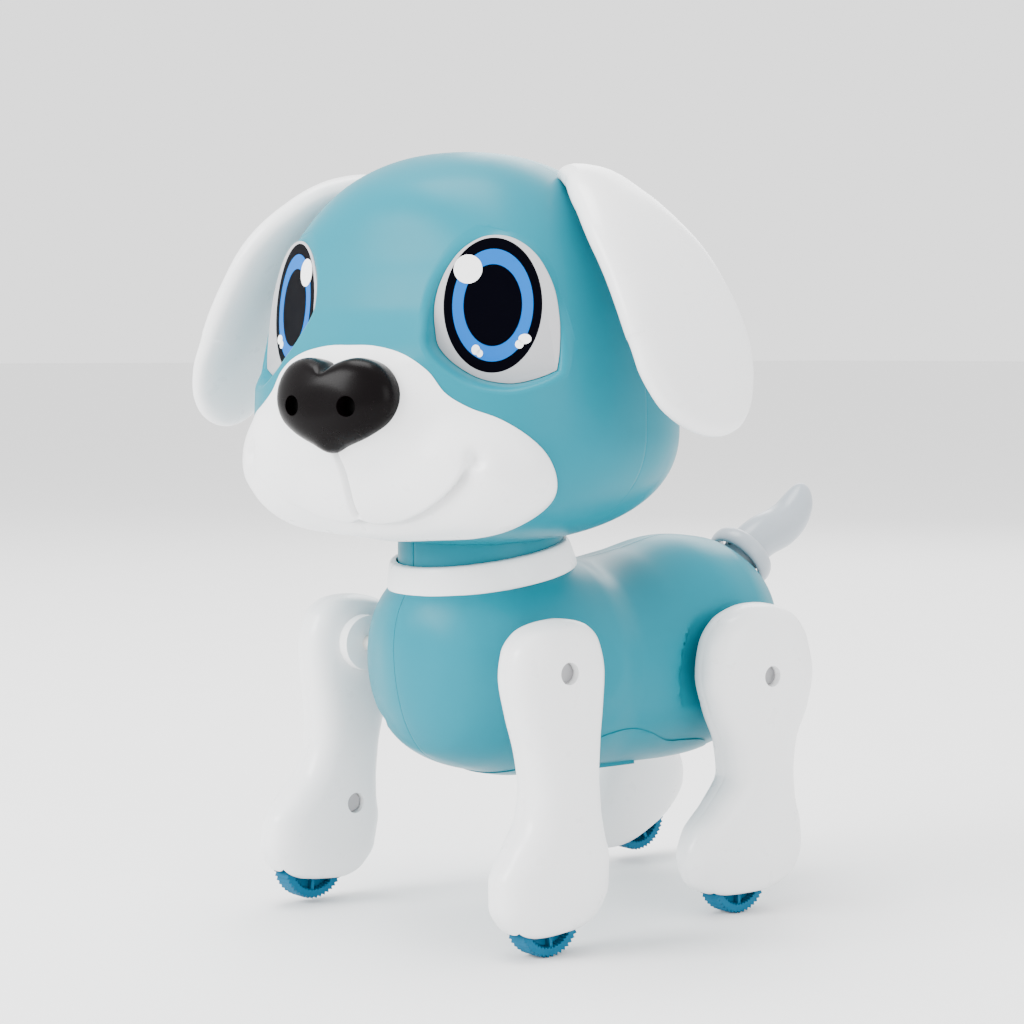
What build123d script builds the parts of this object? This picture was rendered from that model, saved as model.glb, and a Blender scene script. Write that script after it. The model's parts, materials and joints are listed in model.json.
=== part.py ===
"""A wheeled robot puppy: shells, drive, legs, wheels, turning head, ears and tail.

Millimetres. The toy faces -Y, its left side is +X and it stands on Z = 0. Everything is drawn
about the toy's own middle plane (X = 0) and then set over the middle of its footprint by save().
"""

import os
from math import cos, pi, radians, sin

from build123d import *

os.makedirs("parts", exist_ok=True)

# ------------------------------------------------------------------ driving dimensions
FOOTPRINT_MIDDLE = (2.68, -1.1)  # X and Y of the footprint's middle, moved to the origin
WALL = 2.2  # moulded shell wall
RUNNING = 0.06  # radial clearance of a shaft in its bore

# Body: (y, half width, underside z, top z) of each cross section, front to back
BODY_SECTIONS = [
    (-61.5, 8, 75, 93),
    (-57, 19, 61, 99.5),
    (-49, 30, 52, 103),
    (-36, 37.5, 46, 105.5),
    (-22, 39.5, 43.5, 107),
    (-6, 37, 43, 108),
    (10, 34.5, 43, 110.5),
    (26, 35, 43, 114),
    (42, 35, 43.5, 115),
    (57, 32, 46.5, 112),
    (69, 26, 53.5, 106.5),
    (77, 17, 63, 100),
    (81, 8, 72, 92),
]
BODY_SCREWS = [(-52, 61.5), (-2, 101), (30, 106), (66, 72)]  # y, z
BELLY_COVER = (-21, 36, 15)  # its front and back edge and half width
BATTERY_DOOR = (-10, 22, 11)  # the same for the door in it
SWITCH_Y, SOCKET_Y = -16, 29

# Neck, collar and head; the head is drawn about the neck axis, facing straight ahead
NECK_Y, NECK_RADIUS, NECK_TOP = -30, 25, 117.5
SPIGOT_RADIUS = 17
COLLAR_Z, COLLAR_TILT = 108.5, 9.5
HEAD_TURN = 16  # the head's turn to the left at rest
HEAD_HALF_WIDTH, HEAD_HALF_DEPTH = 63, 57
HEAD_MIDDLE_Y = -7
HEAD_WIDEST_Z, HEAD_UP, HEAD_DOWN = 149.5, 81.5, 35
HEAD_FULLNESS = 2.3  # 2 is an ellipse, more is squarer
HEAD_SEAM_Y = -5
HEAD_SCREWS = [(42, 139), (22, 214)]  # x, z
EYE_CENTRE, EYE_YAW, EYE_PITCH = (35, -44, 185.5), 20, 5
EYE_WIDTH, EYE_HEIGHT, EYE_THICK = 42, 46, 2.2
MUZZLE_CENTRE, MUZZLE_RADII = (-45, 146), (56.5, 29, 27.5)  # y and z; x, y and z
NOSE_Z, NOSTRIL = 157, (9.8, 2.9)  # nostril x and radius
EAR_PIVOT = (35, 219.5)  # x, z of the trunnions, in the seam plane
EAR_LINE = [  # (x, y, z, width fore and aft, thickness) down the ear
    (39, -5, 222.5, 9, 6.5),
    (48.5, -6.5, 218, 18, 9.5),
    (61, -11.5, 208.5, 34, 12),
    (73.5, -12.6, 191.5, 45, 13),
    (81, -12.8, 176.5, 47.5, 12.8),
    (86.2, -15.2, 162.5, 41, 11),
    (89.2, -17.6, 153.6, 26, 8),
    (90.2, -18.6, 149.8, 11, 4.5),
]
EAR_TWIST = 8.5  # the ear's rear edge stands out from the head by this turn

# Legs: the hip is (y, z) and the leg spans two x
FRONT_HIP, FRONT_LEG_X = (-44, 81.5), (42, 60)
REAR_HIP, REAR_LEG_X = (44, 73), (32.2, 50.2)
FRONT_WHEEL, REAR_WHEEL = (-8.8, -70.0), (-8.0, -62.0)  # wheel centre about the hip
LEG_WALL = 1.8
HIP_SHAFT_RADIUS, AXLE_RADIUS = 2.5, 1.5
WHEEL_RADIUS, WHEEL_WIDTH, WHEEL_TEETH = 11, 7, 40

# Hip drive: one pinion between two crown gears
MODULE = 1.0
PINION_TEETH, CROWN_TEETH = 10, 22
PINION_RADIUS, CROWN_RADIUS = MODULE * PINION_TEETH / 2, MODULE * CROWN_TEETH / 2
CROWN_FACE_X = PINION_RADIUS + 1.2

# Tail
TAIL_PIVOT, TAIL_RISE = (77, 105), 38  # y, z; the root points this much above level
TAIL_RING = (11.2, 8.6)  # the ring's outer and inner radius
TAIL_LINE = [  # (y, z, radius, the way it points above level)
    (74.2, 102.8, 6.4, TAIL_RISE),
    (80, 107.3, 6.8, 36),
    (87.5, 111.3, 6.8, 20),
    (95, 114.3, 6.6, 32),
    (100.5, 118.8, 6.0, 55),
    (103, 123.6, 4.6, 75),
    (103.9, 127.4, 2.0, 80),
]

TO_ORIGIN = Location((-FOOTPRINT_MIDDLE[0], -FOOTPRINT_MIDDLE[1], 0))
HEAD_PLACE = Location((0, NECK_Y, 0)) * Location((0, 0, 0), (0, 0, HEAD_TURN))
UP = (Align.CENTER, Align.CENTER, Align.MIN)


def save(piece, name, place=Location()):
    """Set a finished piece in its place over the footprint's middle, name it and write it."""
    part = piece.part.moved(TO_ORIGIN * place)
    part.label = name
    export_step(part, f"parts/{name}.step")


# ------------------------------------------------------------------ body
def body_solid(inset):
    """The body as a smooth loft of ellipses, with every face moved in by inset."""
    first, last = BODY_SECTIONS[0][0], BODY_SECTIONS[-1][0]
    with BuildPart() as solid:
        for y, half_width, low, high in BODY_SECTIONS:
            y = min(max(y, first + inset), last - inset)
            if (y, inset) in ((first + inset, inset), (last - inset, inset)):
                half_width, low, high = half_width + inset / 2, low - inset / 2, high + inset / 2
            with BuildSketch(Plane((0, y, (low + high) / 2), x_dir=(1, 0, 0), z_dir=(0, 1, 0))):
                Ellipse(half_width - inset, (high - low) / 2 - inset)
        loft()
        with Locations((0, NECK_Y, 92)):  # the shoulder under the neck
            Cone(31 - inset, NECK_RADIUS + 1.5 - inset, 15 - inset, align=UP)
        with Locations(Location((0, *FRONT_HIP), (0, 90, 0))):  # the front hips stand out
            Cylinder(9 - inset, 2 * (38.2 - inset))
        with Locations((0, NECK_Y, 91)):  # the neck
            Cylinder(NECK_RADIUS - inset, NECK_TOP - 91 - inset, align=UP)
        for side in (-1, 1):  # flats beside the haunches
            with Locations(Location((side * (31.4 - inset), *REAR_HIP), (0, side * 90, 0))):
                Cylinder(23 + inset, 40, align=UP, mode=Mode.SUBTRACT)
    return solid.part


TAIL_WAY = Plane((0, *TAIL_PIVOT), x_dir=(1, 0, 0),
                 z_dir=(0, cos(radians(TAIL_RISE)), sin(radians(TAIL_RISE))))
body_outside, body_inside = body_solid(0), body_solid(WALL)
cover_front, cover_back, cover_half = BELLY_COVER
cover_middle = (cover_front + cover_back) / 2

with BuildPart() as body_posts:  # what the side screws pull together, cut to the outside
    for y, z in BODY_SCREWS:
        with Locations(Location((0, y, z), (0, 90, 0))):
            Cylinder(3.4, 90)
    add(body_outside, mode=Mode.INTERSECT)

with BuildPart() as body_shell:
    add(body_outside)
    add(body_inside, mode=Mode.SUBTRACT)
    add(body_posts.part)
    with Locations((0, NECK_Y, NECK_TOP - WALL)):  # the spigot that the head turns on
        Cylinder(SPIGOT_RADIUS, 9 + WALL, align=UP)
        Cylinder(SPIGOT_RADIUS - WALL, 20, align=UP, mode=Mode.SUBTRACT)
    for hip in (FRONT_HIP, REAR_HIP):
        with Locations(Location((0, *hip), (0, 90, 0))):
            Cylinder(HIP_SHAFT_RADIUS + 0.5, 100, mode=Mode.SUBTRACT)
    with Locations((0, cover_middle, 40)):  # the opening that the belly cover fills
        Box(2 * cover_half, cover_back - cover_front, 26, mode=Mode.SUBTRACT)
    with BuildSketch(TAIL_WAY.offset(-9)):
        Circle(TAIL_RING[0])
    extrude(amount=40, mode=Mode.SUBTRACT)

for name, side in (("body_left_shell", 1), ("body_right_shell", -1)):
    with BuildPart() as body_half:
        add(body_shell.part)
        split(bisect_by=Plane.YZ, keep=Keep.TOP if side > 0 else Keep.BOTTOM)
        for y, z in BODY_SCREWS:
            with Locations(Location((0, y, z), (0, side * 90, 0))):
                Cylinder(1.25, 12, align=UP, mode=Mode.SUBTRACT)
            if side < 0:  # the heads go in from the right
                with Locations(Location((-9, y, z), (0, -90, 0))):
                    Cylinder(2.7, 60, align=UP, mode=Mode.SUBTRACT)
    save(body_half, name)

with BuildPart() as body_screws:
    for y, z in BODY_SCREWS:
        with Locations(Location((-9, y, z), (0, 90, 0))):
            Cylinder(1.2, 18, align=UP)
        with Locations(Location((-9, y, z), (0, -90, 0))):
            Cylinder(2.5, 1.8, align=UP)
save(body_screws, "body_screws")

with BuildPart() as collar_blank:
    with BuildSketch(Plane.XZ):
        with BuildLine():
            Polyline((25.9, 4.2), (26.6, 4.2), (28.3, -3.2), (27.8, -4.2), (25.9, -4.2), close=True)
        make_face()
    revolve(axis=Axis.Z)
collar_place = Location((0, NECK_Y, COLLAR_Z)) * Location((0, 0, 0), (COLLAR_TILT, 0, 0))
with BuildPart() as collar_ring:  # lies on the shoulder, low at the front
    add(collar_blank.part.moved(collar_place))
    add(body_outside, mode=Mode.SUBTRACT)
save(collar_ring, "collar_ring")

# the belly cover closes the underside and takes the battery door, switch and socket
door_front, door_back, door_half = BATTERY_DOOR
door_middle = (door_front + door_back) / 2
with BuildPart() as belly_cover:
    with Locations((0, cover_middle, 40)):
        Box(2 * cover_half, cover_back - cover_front, 26)
    add(body_outside, mode=Mode.INTERSECT)
    add(body_inside, mode=Mode.SUBTRACT)
    with Locations((0, door_middle, 43.4)):  # a flat seat for the door
        Box(2 * door_half + 4, door_back - door_front + 4, 4, align=UP)
        Box(2 * door_half, door_back - door_front, 4, align=UP, mode=Mode.SUBTRACT)
    with Locations((0, SWITCH_Y, 43.4)):  # the switch slot
        Box(10, 6, 2.6, align=UP)
        Box(6.6, 2.6, 6, mode=Mode.SUBTRACT)
    with Locations((0, SOCKET_Y, 43.4)):  # the charging socket's hole
        Box(9, 8, 2.6, align=UP)
        Cylinder(2.6, 8, mode=Mode.SUBTRACT)
    with Locations((0, 0, 43.4)):  # the flat underside
        Box(80, 200, 6, align=(Align.CENTER, Align.CENTER, Align.MAX), mode=Mode.SUBTRACT)
save(belly_cover, "belly_cover")

with BuildPart() as battery_door:
    with Locations((0, door_middle, 43.4)):
        Box(2 * door_half, door_back - door_front, 2, align=UP)
    with Locations((0, door_back - 5, 43.4)):  # the finger notch
        Cylinder(3, 0.8, align=UP, mode=Mode.SUBTRACT)
save(battery_door, "battery_door")

with BuildPart() as battery_pack:
    with Locations((0, door_middle, 54)):
        Box(20, 30, 12)
    fillet(battery_pack.edges().filter_by(Axis.Y), 2)
save(battery_pack, "battery_pack")

with BuildPart() as power_switch:  # the switch body on the cover's inside
    with Locations((0, SWITCH_Y, 46.0)):
        Box(8.6, 4.8, 4, align=UP)
        Box(6.6, 2.6, 2, align=UP, mode=Mode.SUBTRACT)
save(power_switch, "power_switch")

with BuildPart() as power_switch_knob:  # slides across, off to on
    with Locations((-1.5, SWITCH_Y, 42.6)):
        Box(2.6, 1.9, 5.0, align=UP)
save(power_switch_knob, "power_switch_knob")

with BuildPart() as charging_socket:
    with Locations((0, SOCKET_Y, 44.0)):
        Cylinder(2.5, 5, align=UP)
        Cylinder(1.1, 3.8, align=UP, mode=Mode.SUBTRACT)
save(charging_socket, "charging_socket")

with BuildPart() as main_board:
    with Locations((0, 13, 94)):
        Box(34, 38, 1.6)
    with Locations((7, 6, 95.8), (-7, 18, 95.8)):  # chips
        Box(8, 8, 2)
save(main_board, "main_board")

with BuildPart() as speaker:
    with Locations((0, NECK_Y, 100)):
        Cylinder(12, 2.4)
        Cone(11, 5, 4, align=UP)
save(speaker, "speaker")


# ------------------------------------------------------------------ hip drives
def gearbox_frame(hip, name):
    """A frame across the body that carries both hip shafts, open to the front and back."""
    with BuildPart() as frame:
        with Locations((0, *hip)):
            Box(29, 14, 29)
            Box(24.4, 20, 25, mode=Mode.SUBTRACT)
        for side in (-1, 1):
            with Locations(Location((side * 12.2, *hip), (0, side * 90, 0))):
                Cylinder(5, 5, align=UP)
        with Locations(Location((0, *hip), (0, 90, 0))):
            Cylinder(HIP_SHAFT_RADIUS + RUNNING, 60, mode=Mode.SUBTRACT)
    save(frame, name)


def drive_motor(hip, toward, name):
    """A can motor whose shaft points along Y at the hip, toward being the side it lies on."""
    face = Plane((0, hip[0] + toward * (CROWN_RADIUS + 4.2), hip[1]), x_dir=(1, 0, 0), z_dir=(0, toward, 0))
    with BuildPart() as motor:
        with BuildSketch(face):
            Circle(7.7)
            Rectangle(15.4, 12, mode=Mode.INTERSECT)
        extrude(amount=17)
        with BuildSketch(face):
            Circle(0.8)
        extrude(amount=2, mode=Mode.SUBTRACT)
    save(motor, name)


def drive_pinion(hip, toward, name):
    """The motor's straight pinion, in mesh with the left and the right crown gear at once."""
    middle = Plane((0, hip[0] + toward * CROWN_RADIUS, hip[1]), x_dir=(1, 0, 0), z_dir=(0, toward, 0))
    root, tip = PINION_RADIUS - 1.2 * MODULE, PINION_RADIUS + 0.85 * MODULE
    with BuildPart() as pinion:
        with BuildSketch(middle.offset(-1.5)):
            Circle(root + 0.1)
            with PolarLocations(0, PINION_TEETH):
                with BuildLine():
                    Polyline((root, -0.9), (tip, -0.35), (tip, 0.35), (root, 0.9), (0, 0), close=True)
                make_face()
        extrude(amount=3)
        with BuildSketch(middle):
            Circle(0.74)
        extrude(amount=5.5)
    save(pinion, name)


def hip_shaft(hip, leg_x, side, name):
    """A hip shaft with its crown gear, whose teeth face the toy's middle."""
    end_x = leg_x[1] - LEG_WALL - 2.4
    outward = Plane((side * CROWN_FACE_X, *hip), x_dir=(0, 1, 0), z_dir=(side, 0, 0))
    with BuildPart() as shaft:
        with BuildSketch(outward):
            Circle(CROWN_RADIUS + 1)
        extrude(amount=2.6)
        with BuildSketch(outward):
            Circle(HIP_SHAFT_RADIUS)
        extrude(amount=end_x - CROWN_FACE_X)
        for tooth in range(CROWN_TEETH):  # a gap between two teeth faces the pinion
            angle = 2 * pi * (tooth + 0.5) / CROWN_TEETH
            out = Vector(0, cos(angle), sin(angle))
            foot = Vector(side * CROWN_FACE_X, *hip) + out * (CROWN_RADIUS - 0.9)
            with BuildSketch(Plane(foot, x_dir=(-side, 0, 0), z_dir=out)):
                with BuildLine():
                    Polyline((-0.3, -0.9), (0, -0.9), (2.0, -0.32), (2.0, 0.32), (0, 0.9), (-0.3, 0.9), close=True)
                make_face()
        extrude(amount=1.8)
        with BuildSketch(Plane((side * end_x, *hip), z_dir=(-side, 0, 0))):
            Circle(1.2)
        extrude(amount=7, mode=Mode.SUBTRACT)
    save(shaft, name)


# ------------------------------------------------------------------ legs
def front_outline(inset):
    """A front leg from its side, about its hip: x runs to the back, y up."""
    with BuildSketch() as outline:
        with BuildSketch():
            Circle(15.2 - inset)
            with Locations((-0.5, -36)):
                Circle(10 - inset)
            make_hull()
        with BuildSketch():
            with Locations((-0.5, -36)):
                Circle(10 - inset)
            with Locations((-13, -57), (0.5, -57)):
                Circle(10.5 - inset)
            with Locations((-16, -68), (3.5, -68)):
                Circle(7 - inset)
            make_hull()
    return outline.sketch


def rear_outline(inset):
    """A rear leg the same way: a wide haunch on a short shank."""
    with BuildSketch() as outline:
        with BuildSketch():
            with Locations((-1, 1)):
                Circle(21 - inset)
            with Locations((-0.5, -30)):
                Circle(11 - inset)
            make_hull()
        with BuildSketch():
            with Locations((-0.5, -30)):
                Circle(11 - inset)
            with Locations((-15, -51), (3, -50)):
                Circle(10.5 - inset)
            with Locations((-19, -60.5), (7, -60.5)):
                Circle(7 - inset)
            make_hull()
    return outline.sketch


def make_leg(name, side, hip, leg_x, outline, wheel, screw, swing):
    """One leg, its screws, axle and wheel, turned by its swing at rest (back is positive)."""
    plane = Plane((0, *hip), x_dir=(0, cos(radians(swing)), sin(radians(swing))), z_dir=(1, 0, 0))
    inner, outer = leg_x
    middle = (inner + outer) / 2
    seat = outer - LEG_WALL - 2.4  # where the hip shaft ends and its screw's head sits
    slot = WHEEL_WIDTH / 2 + 0.7

    def run(sketch, low, high, mode=Mode.ADD):
        """Extrude a side view between two distances out from the toy's middle plane."""
        with BuildSketch(plane.offset(side * low)) as view:
            add(sketch)
        extrude(view.sketch, amount=side * (high - low), mode=mode)

    def disc(radius, at=(0, 0)):
        """A circle in the side view."""
        with BuildSketch() as circle:
            with Locations(at):
                Circle(radius)
        return circle.sketch

    with BuildPart() as body:
        run(outline(0), inner, outer)
        fillet(body.faces().filter_by(Axis.X).edges(), 4)
        run(outline(LEG_WALL), inner + LEG_WALL, outer - LEG_WALL, Mode.SUBTRACT)
        for at, radius in (((0, 0), 7), (screw, 4), (wheel, 4)):  # bosses from wall to wall
            run(disc(radius, at), inner + 1, outer - 1)
        run(disc(9), inner - (3.4 if leg_x is FRONT_LEG_X else 0.4), inner + 2)
        run(disc(HIP_SHAFT_RADIUS), 0, seat, Mode.SUBTRACT)
        run(disc(3.2), seat, outer + 1, Mode.SUBTRACT)  # the hip screw's recess
        run(disc(1.2, screw), inner, middle + 5, Mode.SUBTRACT)
        run(disc(3.2, screw), inner - 1, inner + 4, Mode.SUBTRACT)  # the shell screw's recess
        with BuildSketch() as wheel_slot:
            with Locations(wheel):
                Circle(WHEEL_RADIUS + 1)
                Rectangle(2 * WHEEL_RADIUS + 2, 20, align=(Align.CENTER, Align.MAX))
        run(wheel_slot.sketch, middle - slot, middle + slot, Mode.SUBTRACT)
        run(disc(AXLE_RADIUS, wheel), middle - 7, middle + 7, Mode.SUBTRACT)
    for shell, way in (("outer", side), ("inner", -side)):
        with BuildPart() as half:
            add(body.part)
            split(bisect_by=Plane.YZ.offset(side * middle), keep=Keep.TOP if way > 0 else Keep.BOTTOM)
        save(half, f"{name}_leg_{shell}_shell")

    with BuildPart() as screws:
        run(disc(2.8), seat, seat + 2)
        run(disc(1.15), seat - 6, seat)
        run(disc(2.8, screw), inner + 2, inner + 4)
        run(disc(1.15, screw), inner + 4, middle + 4.8)
    save(screws, f"{name}_leg_screws")

    with BuildPart() as axle:
        run(disc(AXLE_RADIUS, wheel), middle - 7, middle + 7)
    save(axle, f"{name}_wheel_axle")

    with BuildSketch() as toothed:  # a fine saw tooth all round
        with BuildLine():
            points = []
            for tooth in range(WHEEL_TEETH):
                for share, radius in ((0, WHEEL_RADIUS), (0.3, WHEEL_RADIUS - 0.7)):
                    angle = 2 * pi * (tooth + share) / WHEEL_TEETH
                    points.append((wheel[0] + radius * cos(angle), wheel[1] + radius * sin(angle)))
            Polyline(*points, close=True)
        make_face()
    with BuildSketch() as web:
        with Locations(wheel):
            Circle(WHEEL_RADIUS - 2.4)
            Circle(3.4, mode=Mode.SUBTRACT)
    with BuildPart() as rim:
        half_width = WHEEL_WIDTH / 2
        run(toothed.sketch, middle - half_width, middle + half_width)
        run(web.sketch, middle - half_width, middle - 1, Mode.SUBTRACT)
        run(web.sketch, middle + 1, middle + half_width, Mode.SUBTRACT)
        run(disc(AXLE_RADIUS + RUNNING, wheel), middle - half_width, middle + half_width, Mode.SUBTRACT)
    save(rim, f"{name}_wheel")
    hip_shaft(hip, leg_x, side, f"{name}_hip_shaft")


make_leg("front_left", 1, FRONT_HIP, FRONT_LEG_X, front_outline, FRONT_WHEEL, (1.5, -50.5), 5)
make_leg("front_right", -1, FRONT_HIP, FRONT_LEG_X, front_outline, FRONT_WHEEL, (1.5, -50.5), -5)
make_leg("rear_left", 1, REAR_HIP, REAR_LEG_X, rear_outline, REAR_WHEEL, (-1, -30), 0)
make_leg("rear_right", -1, REAR_HIP, REAR_LEG_X, rear_outline, REAR_WHEEL, (-1, -30), 28)
for name, hip, toward in (("front", FRONT_HIP, 1), ("rear", REAR_HIP, -1)):
    gearbox_frame(hip, f"{name}_gearbox")
    drive_motor(hip, toward, f"{name}_motor")
    drive_pinion(hip, toward, f"{name}_pinion")

# ------------------------------------------------------------------ tail
across_root = TAIL_WAY.location * Location((0, 0, 0), (90, 0, 0))  # along the tail's pin

with BuildPart() as tail_ring:
    with BuildSketch(TAIL_WAY.offset(-3)):
        Circle(TAIL_RING[0])
        Circle(TAIL_RING[1], mode=Mode.SUBTRACT)
    extrude(amount=6)
    with Locations(across_root):
        Cylinder(1.5, 40, mode=Mode.SUBTRACT)
save(tail_ring, "tail_ring")

with BuildPart() as tail_pin:
    with Locations(across_root):
        Cylinder(1.5, 2 * TAIL_RING[0] - 0.6)
save(tail_pin, "tail_pin")

with BuildPart() as tail:
    for y, z, radius, rise in TAIL_LINE:
        with BuildSketch(Plane((0, y, z), x_dir=(1, 0, 0), z_dir=(0, cos(radians(rise)), sin(radians(rise))))):
            Circle(radius)
    loft()
    with Locations(across_root):
        Cylinder(1.5 + RUNNING, 40, mode=Mode.SUBTRACT)
save(tail, "tail")


# ------------------------------------------------------------------ head
def head_solid(inset):
    """The head as a loft of ellipses up its height, with every face moved in by inset."""
    with BuildPart() as solid:
        for part in (-0.99, -0.9, -0.7, -0.4, 0, 0.3, 0.55, 0.75, 0.88, 0.96, 0.995):
            z = HEAD_WIDEST_Z + part * (HEAD_UP if part > 0 else HEAD_DOWN)
            width = (1 - abs(part) ** HEAD_FULLNESS) ** (1 / HEAD_FULLNESS)
            if part < -0.95 or part > 0.95:
                z -= inset if part > 0 else -inset
            with BuildSketch(Plane((0, HEAD_MIDDLE_Y, z))):
                Ellipse(HEAD_HALF_WIDTH * width - inset, HEAD_HALF_DEPTH * width - inset)
        loft()
    return solid.part


def eye_plane(side):
    """The plane of an eye panel's face: z points out of the face, y up."""
    x, y, z = EYE_CENTRE
    yaw, pitch = radians(side * EYE_YAW), radians(EYE_PITCH)
    return Plane((side * x, y, z), x_dir=(cos(yaw), sin(yaw), 0),
                 z_dir=(sin(yaw) * cos(pitch), -cos(yaw) * cos(pitch), sin(pitch)))


def ellipsoid(centre, radii):
    """A smooth ellipsoid on the head's middle plane."""
    with BuildPart() as solid:
        Sphere(1)
        scale(by=radii)
    return solid.part.moved(Location((0, *centre)))


head_outside, head_inside = head_solid(0), head_solid(WALL)
muzzle_outside = ellipsoid(MUZZLE_CENTRE, MUZZLE_RADII)
muzzle_inside = ellipsoid(MUZZLE_CENTRE, tuple(radius - WALL for radius in MUZZLE_RADII))

with BuildPart() as head_furniture:  # what stands off the shell's inside, cut to the outside
    for side in (-1, 1):
        with BuildSketch(eye_plane(side).offset(-EYE_THICK - WALL)):  # the tray behind an eye
            RectangleRounded(EYE_WIDTH + 2 * WALL, EYE_HEIGHT + 2 * WALL, 14)
        extrude(amount=20)
        for x, z in HEAD_SCREWS:  # screw posts from front to back
            with Locations(Location((side * x, 0, z), (90, 0, 0))):
                Cylinder(3.6, 140)
        with Locations(Location((side * EAR_PIVOT[0], HEAD_SEAM_Y, EAR_PIVOT[1]), (90, 0, 0))):
            Cylinder(4.4, 22)  # the bosses around an ear's trunnions
    with Locations((0, 0, NECK_TOP + 0.4)):  # the plate that turns on the neck
        Cylinder(44, 5, align=UP)
    add(head_outside, mode=Mode.INTERSECT)

with BuildPart() as head_shell:
    add(head_outside)
    add(head_inside, mode=Mode.SUBTRACT)
    add(head_furniture.part)
    for side in (-1, 1):
        with BuildSketch(eye_plane(side).offset(-EYE_THICK)):  # the pocket an eye panel lies in
            RectangleRounded(EYE_WIDTH, EYE_HEIGHT, 12)
        extrude(amount=40, mode=Mode.SUBTRACT)
        with Locations(Location((side * EAR_PIVOT[0], HEAD_SEAM_Y, EAR_PIVOT[1]), (90, 0, 0))):
            Cylinder(2 + RUNNING, 17, mode=Mode.SUBTRACT)
        with Locations((side * (EAR_PIVOT[0] + 2.5), HEAD_SEAM_Y, EAR_PIVOT[1] + 2)):  # an ear's slot
            Box(17, 10.6, 15, mode=Mode.SUBTRACT)
    with Locations((0, 0, 0)):
        Cylinder(NECK_RADIUS + 0.8, NECK_TOP + 0.4, align=UP, mode=Mode.SUBTRACT)
        Cylinder(SPIGOT_RADIUS + RUNNING, 150, align=UP, mode=Mode.SUBTRACT)
    for x in (-NOSTRIL[0], NOSTRIL[0]):
        with Locations(Location((x, -60, NOSE_Z), (90, 0, 0))):
            Cylinder(NOSTRIL[1], 30, mode=Mode.SUBTRACT)

for name, way in (("head_front_shell", -1), ("head_rear_shell", 1)):
    with BuildPart() as head_half:
        add(head_shell.part)
        split(bisect_by=Plane.XZ.offset(-HEAD_SEAM_Y), keep=Keep.TOP if way < 0 else Keep.BOTTOM)
        for side in (-1, 1):
            for x, z in HEAD_SCREWS:
                with Locations(Location((side * x, HEAD_SEAM_Y, z), (90, 0, 0))):
                    Cylinder(1.25, 24, mode=Mode.SUBTRACT)
                if way > 0:  # the heads go in from the back
                    with Locations(Location((side * x, HEAD_SEAM_Y + 8, z), (-90, 0, 0))):
                        Cylinder(2.7, 60, align=UP, mode=Mode.SUBTRACT)
    save(head_half, name, HEAD_PLACE)

with BuildPart() as head_screws:
    for side in (-1, 1):
        for x, z in HEAD_SCREWS:
            with Locations(Location((side * x, HEAD_SEAM_Y + 8, z), (90, 0, 0))):
                Cylinder(1.2, 19, align=UP)
            with Locations(Location((side * x, HEAD_SEAM_Y + 8, z), (-90, 0, 0))):
                Cylinder(2.5, 1.8, align=UP)
save(head_screws, "head_screws", HEAD_PLACE)

with BuildPart() as neck_retainer:  # holds the head down on the neck
    with Locations((0, 0, NECK_TOP + 5.7)):
        Cylinder(SPIGOT_RADIUS + 4, 2.4, align=UP)
        Cylinder(SPIGOT_RADIUS, 2.4, align=UP, mode=Mode.SUBTRACT)
save(neck_retainer, "neck_retainer", HEAD_PLACE)

for name, side in (("eye_panel_left", 1), ("eye_panel_right", -1)):
    with BuildPart() as eye_panel:
        with BuildSketch(eye_plane(side)):
            RectangleRounded(EYE_WIDTH, EYE_HEIGHT, 12)
        extrude(amount=-EYE_THICK)
    save(eye_panel, name, HEAD_PLACE)

with BuildPart() as eye_light_boards:
    for side in (-1, 1):
        with BuildSketch(eye_plane(side).offset(-EYE_THICK - WALL)):
            Rectangle(18, 22)
        extrude(amount=-1.6)
save(eye_light_boards, "eye_light_boards", HEAD_PLACE)

with BuildPart() as nose_solid:
    with BuildSketch(Plane((0, -66, NOSE_Z), x_dir=(1, 0, 0), z_dir=(0, -1, 0))):
        with Locations((-9.4, 2.2), (9.4, 2.2)):
            Circle(10.8)
        with Locations((0, -9)):
            Circle(4.2)
        make_hull()
    extrude(amount=12)
    fillet(nose_solid.faces().sort_by(Axis.Y)[0].edges(), 3.5)

with BuildPart() as muzzle_cover:
    add(muzzle_outside)
    add(muzzle_inside, mode=Mode.SUBTRACT)
    add(head_outside, mode=Mode.SUBTRACT)
    with Locations((0, -40, 100)):
        Cylinder(200, NECK_TOP - 98, align=UP, mode=Mode.SUBTRACT)
    for x in (-NOSTRIL[0], NOSTRIL[0]):
        with Locations(Location((x, -70, NOSE_Z), (90, 0, 0))):
            Cylinder(NOSTRIL[1], 30, mode=Mode.SUBTRACT)
save(muzzle_cover, "muzzle_cover", HEAD_PLACE)

with BuildPart() as nose_cover:
    add(nose_solid.part)
    add(muzzle_outside, mode=Mode.SUBTRACT)
    for x in (-NOSTRIL[0], NOSTRIL[0]):
        with Locations(Location((x, -70, NOSE_Z), (90, 0, 0))):
            Cylinder(NOSTRIL[1], 40, mode=Mode.SUBTRACT)
save(nose_cover, "nose_cover", HEAD_PLACE)

with BuildPart() as nose_sensors:
    for x in (-NOSTRIL[0], NOSTRIL[0]):
        with Locations(Location((x, -62, NOSE_Z), (90, 0, 0))):
            Cylinder(NOSTRIL[1], 14.4, align=UP)
    fillet(nose_sensors.faces().sort_by(Axis.Y)[:2].edges(), 1)
save(nose_sensors, "nose_sensors", HEAD_PLACE)

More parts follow.
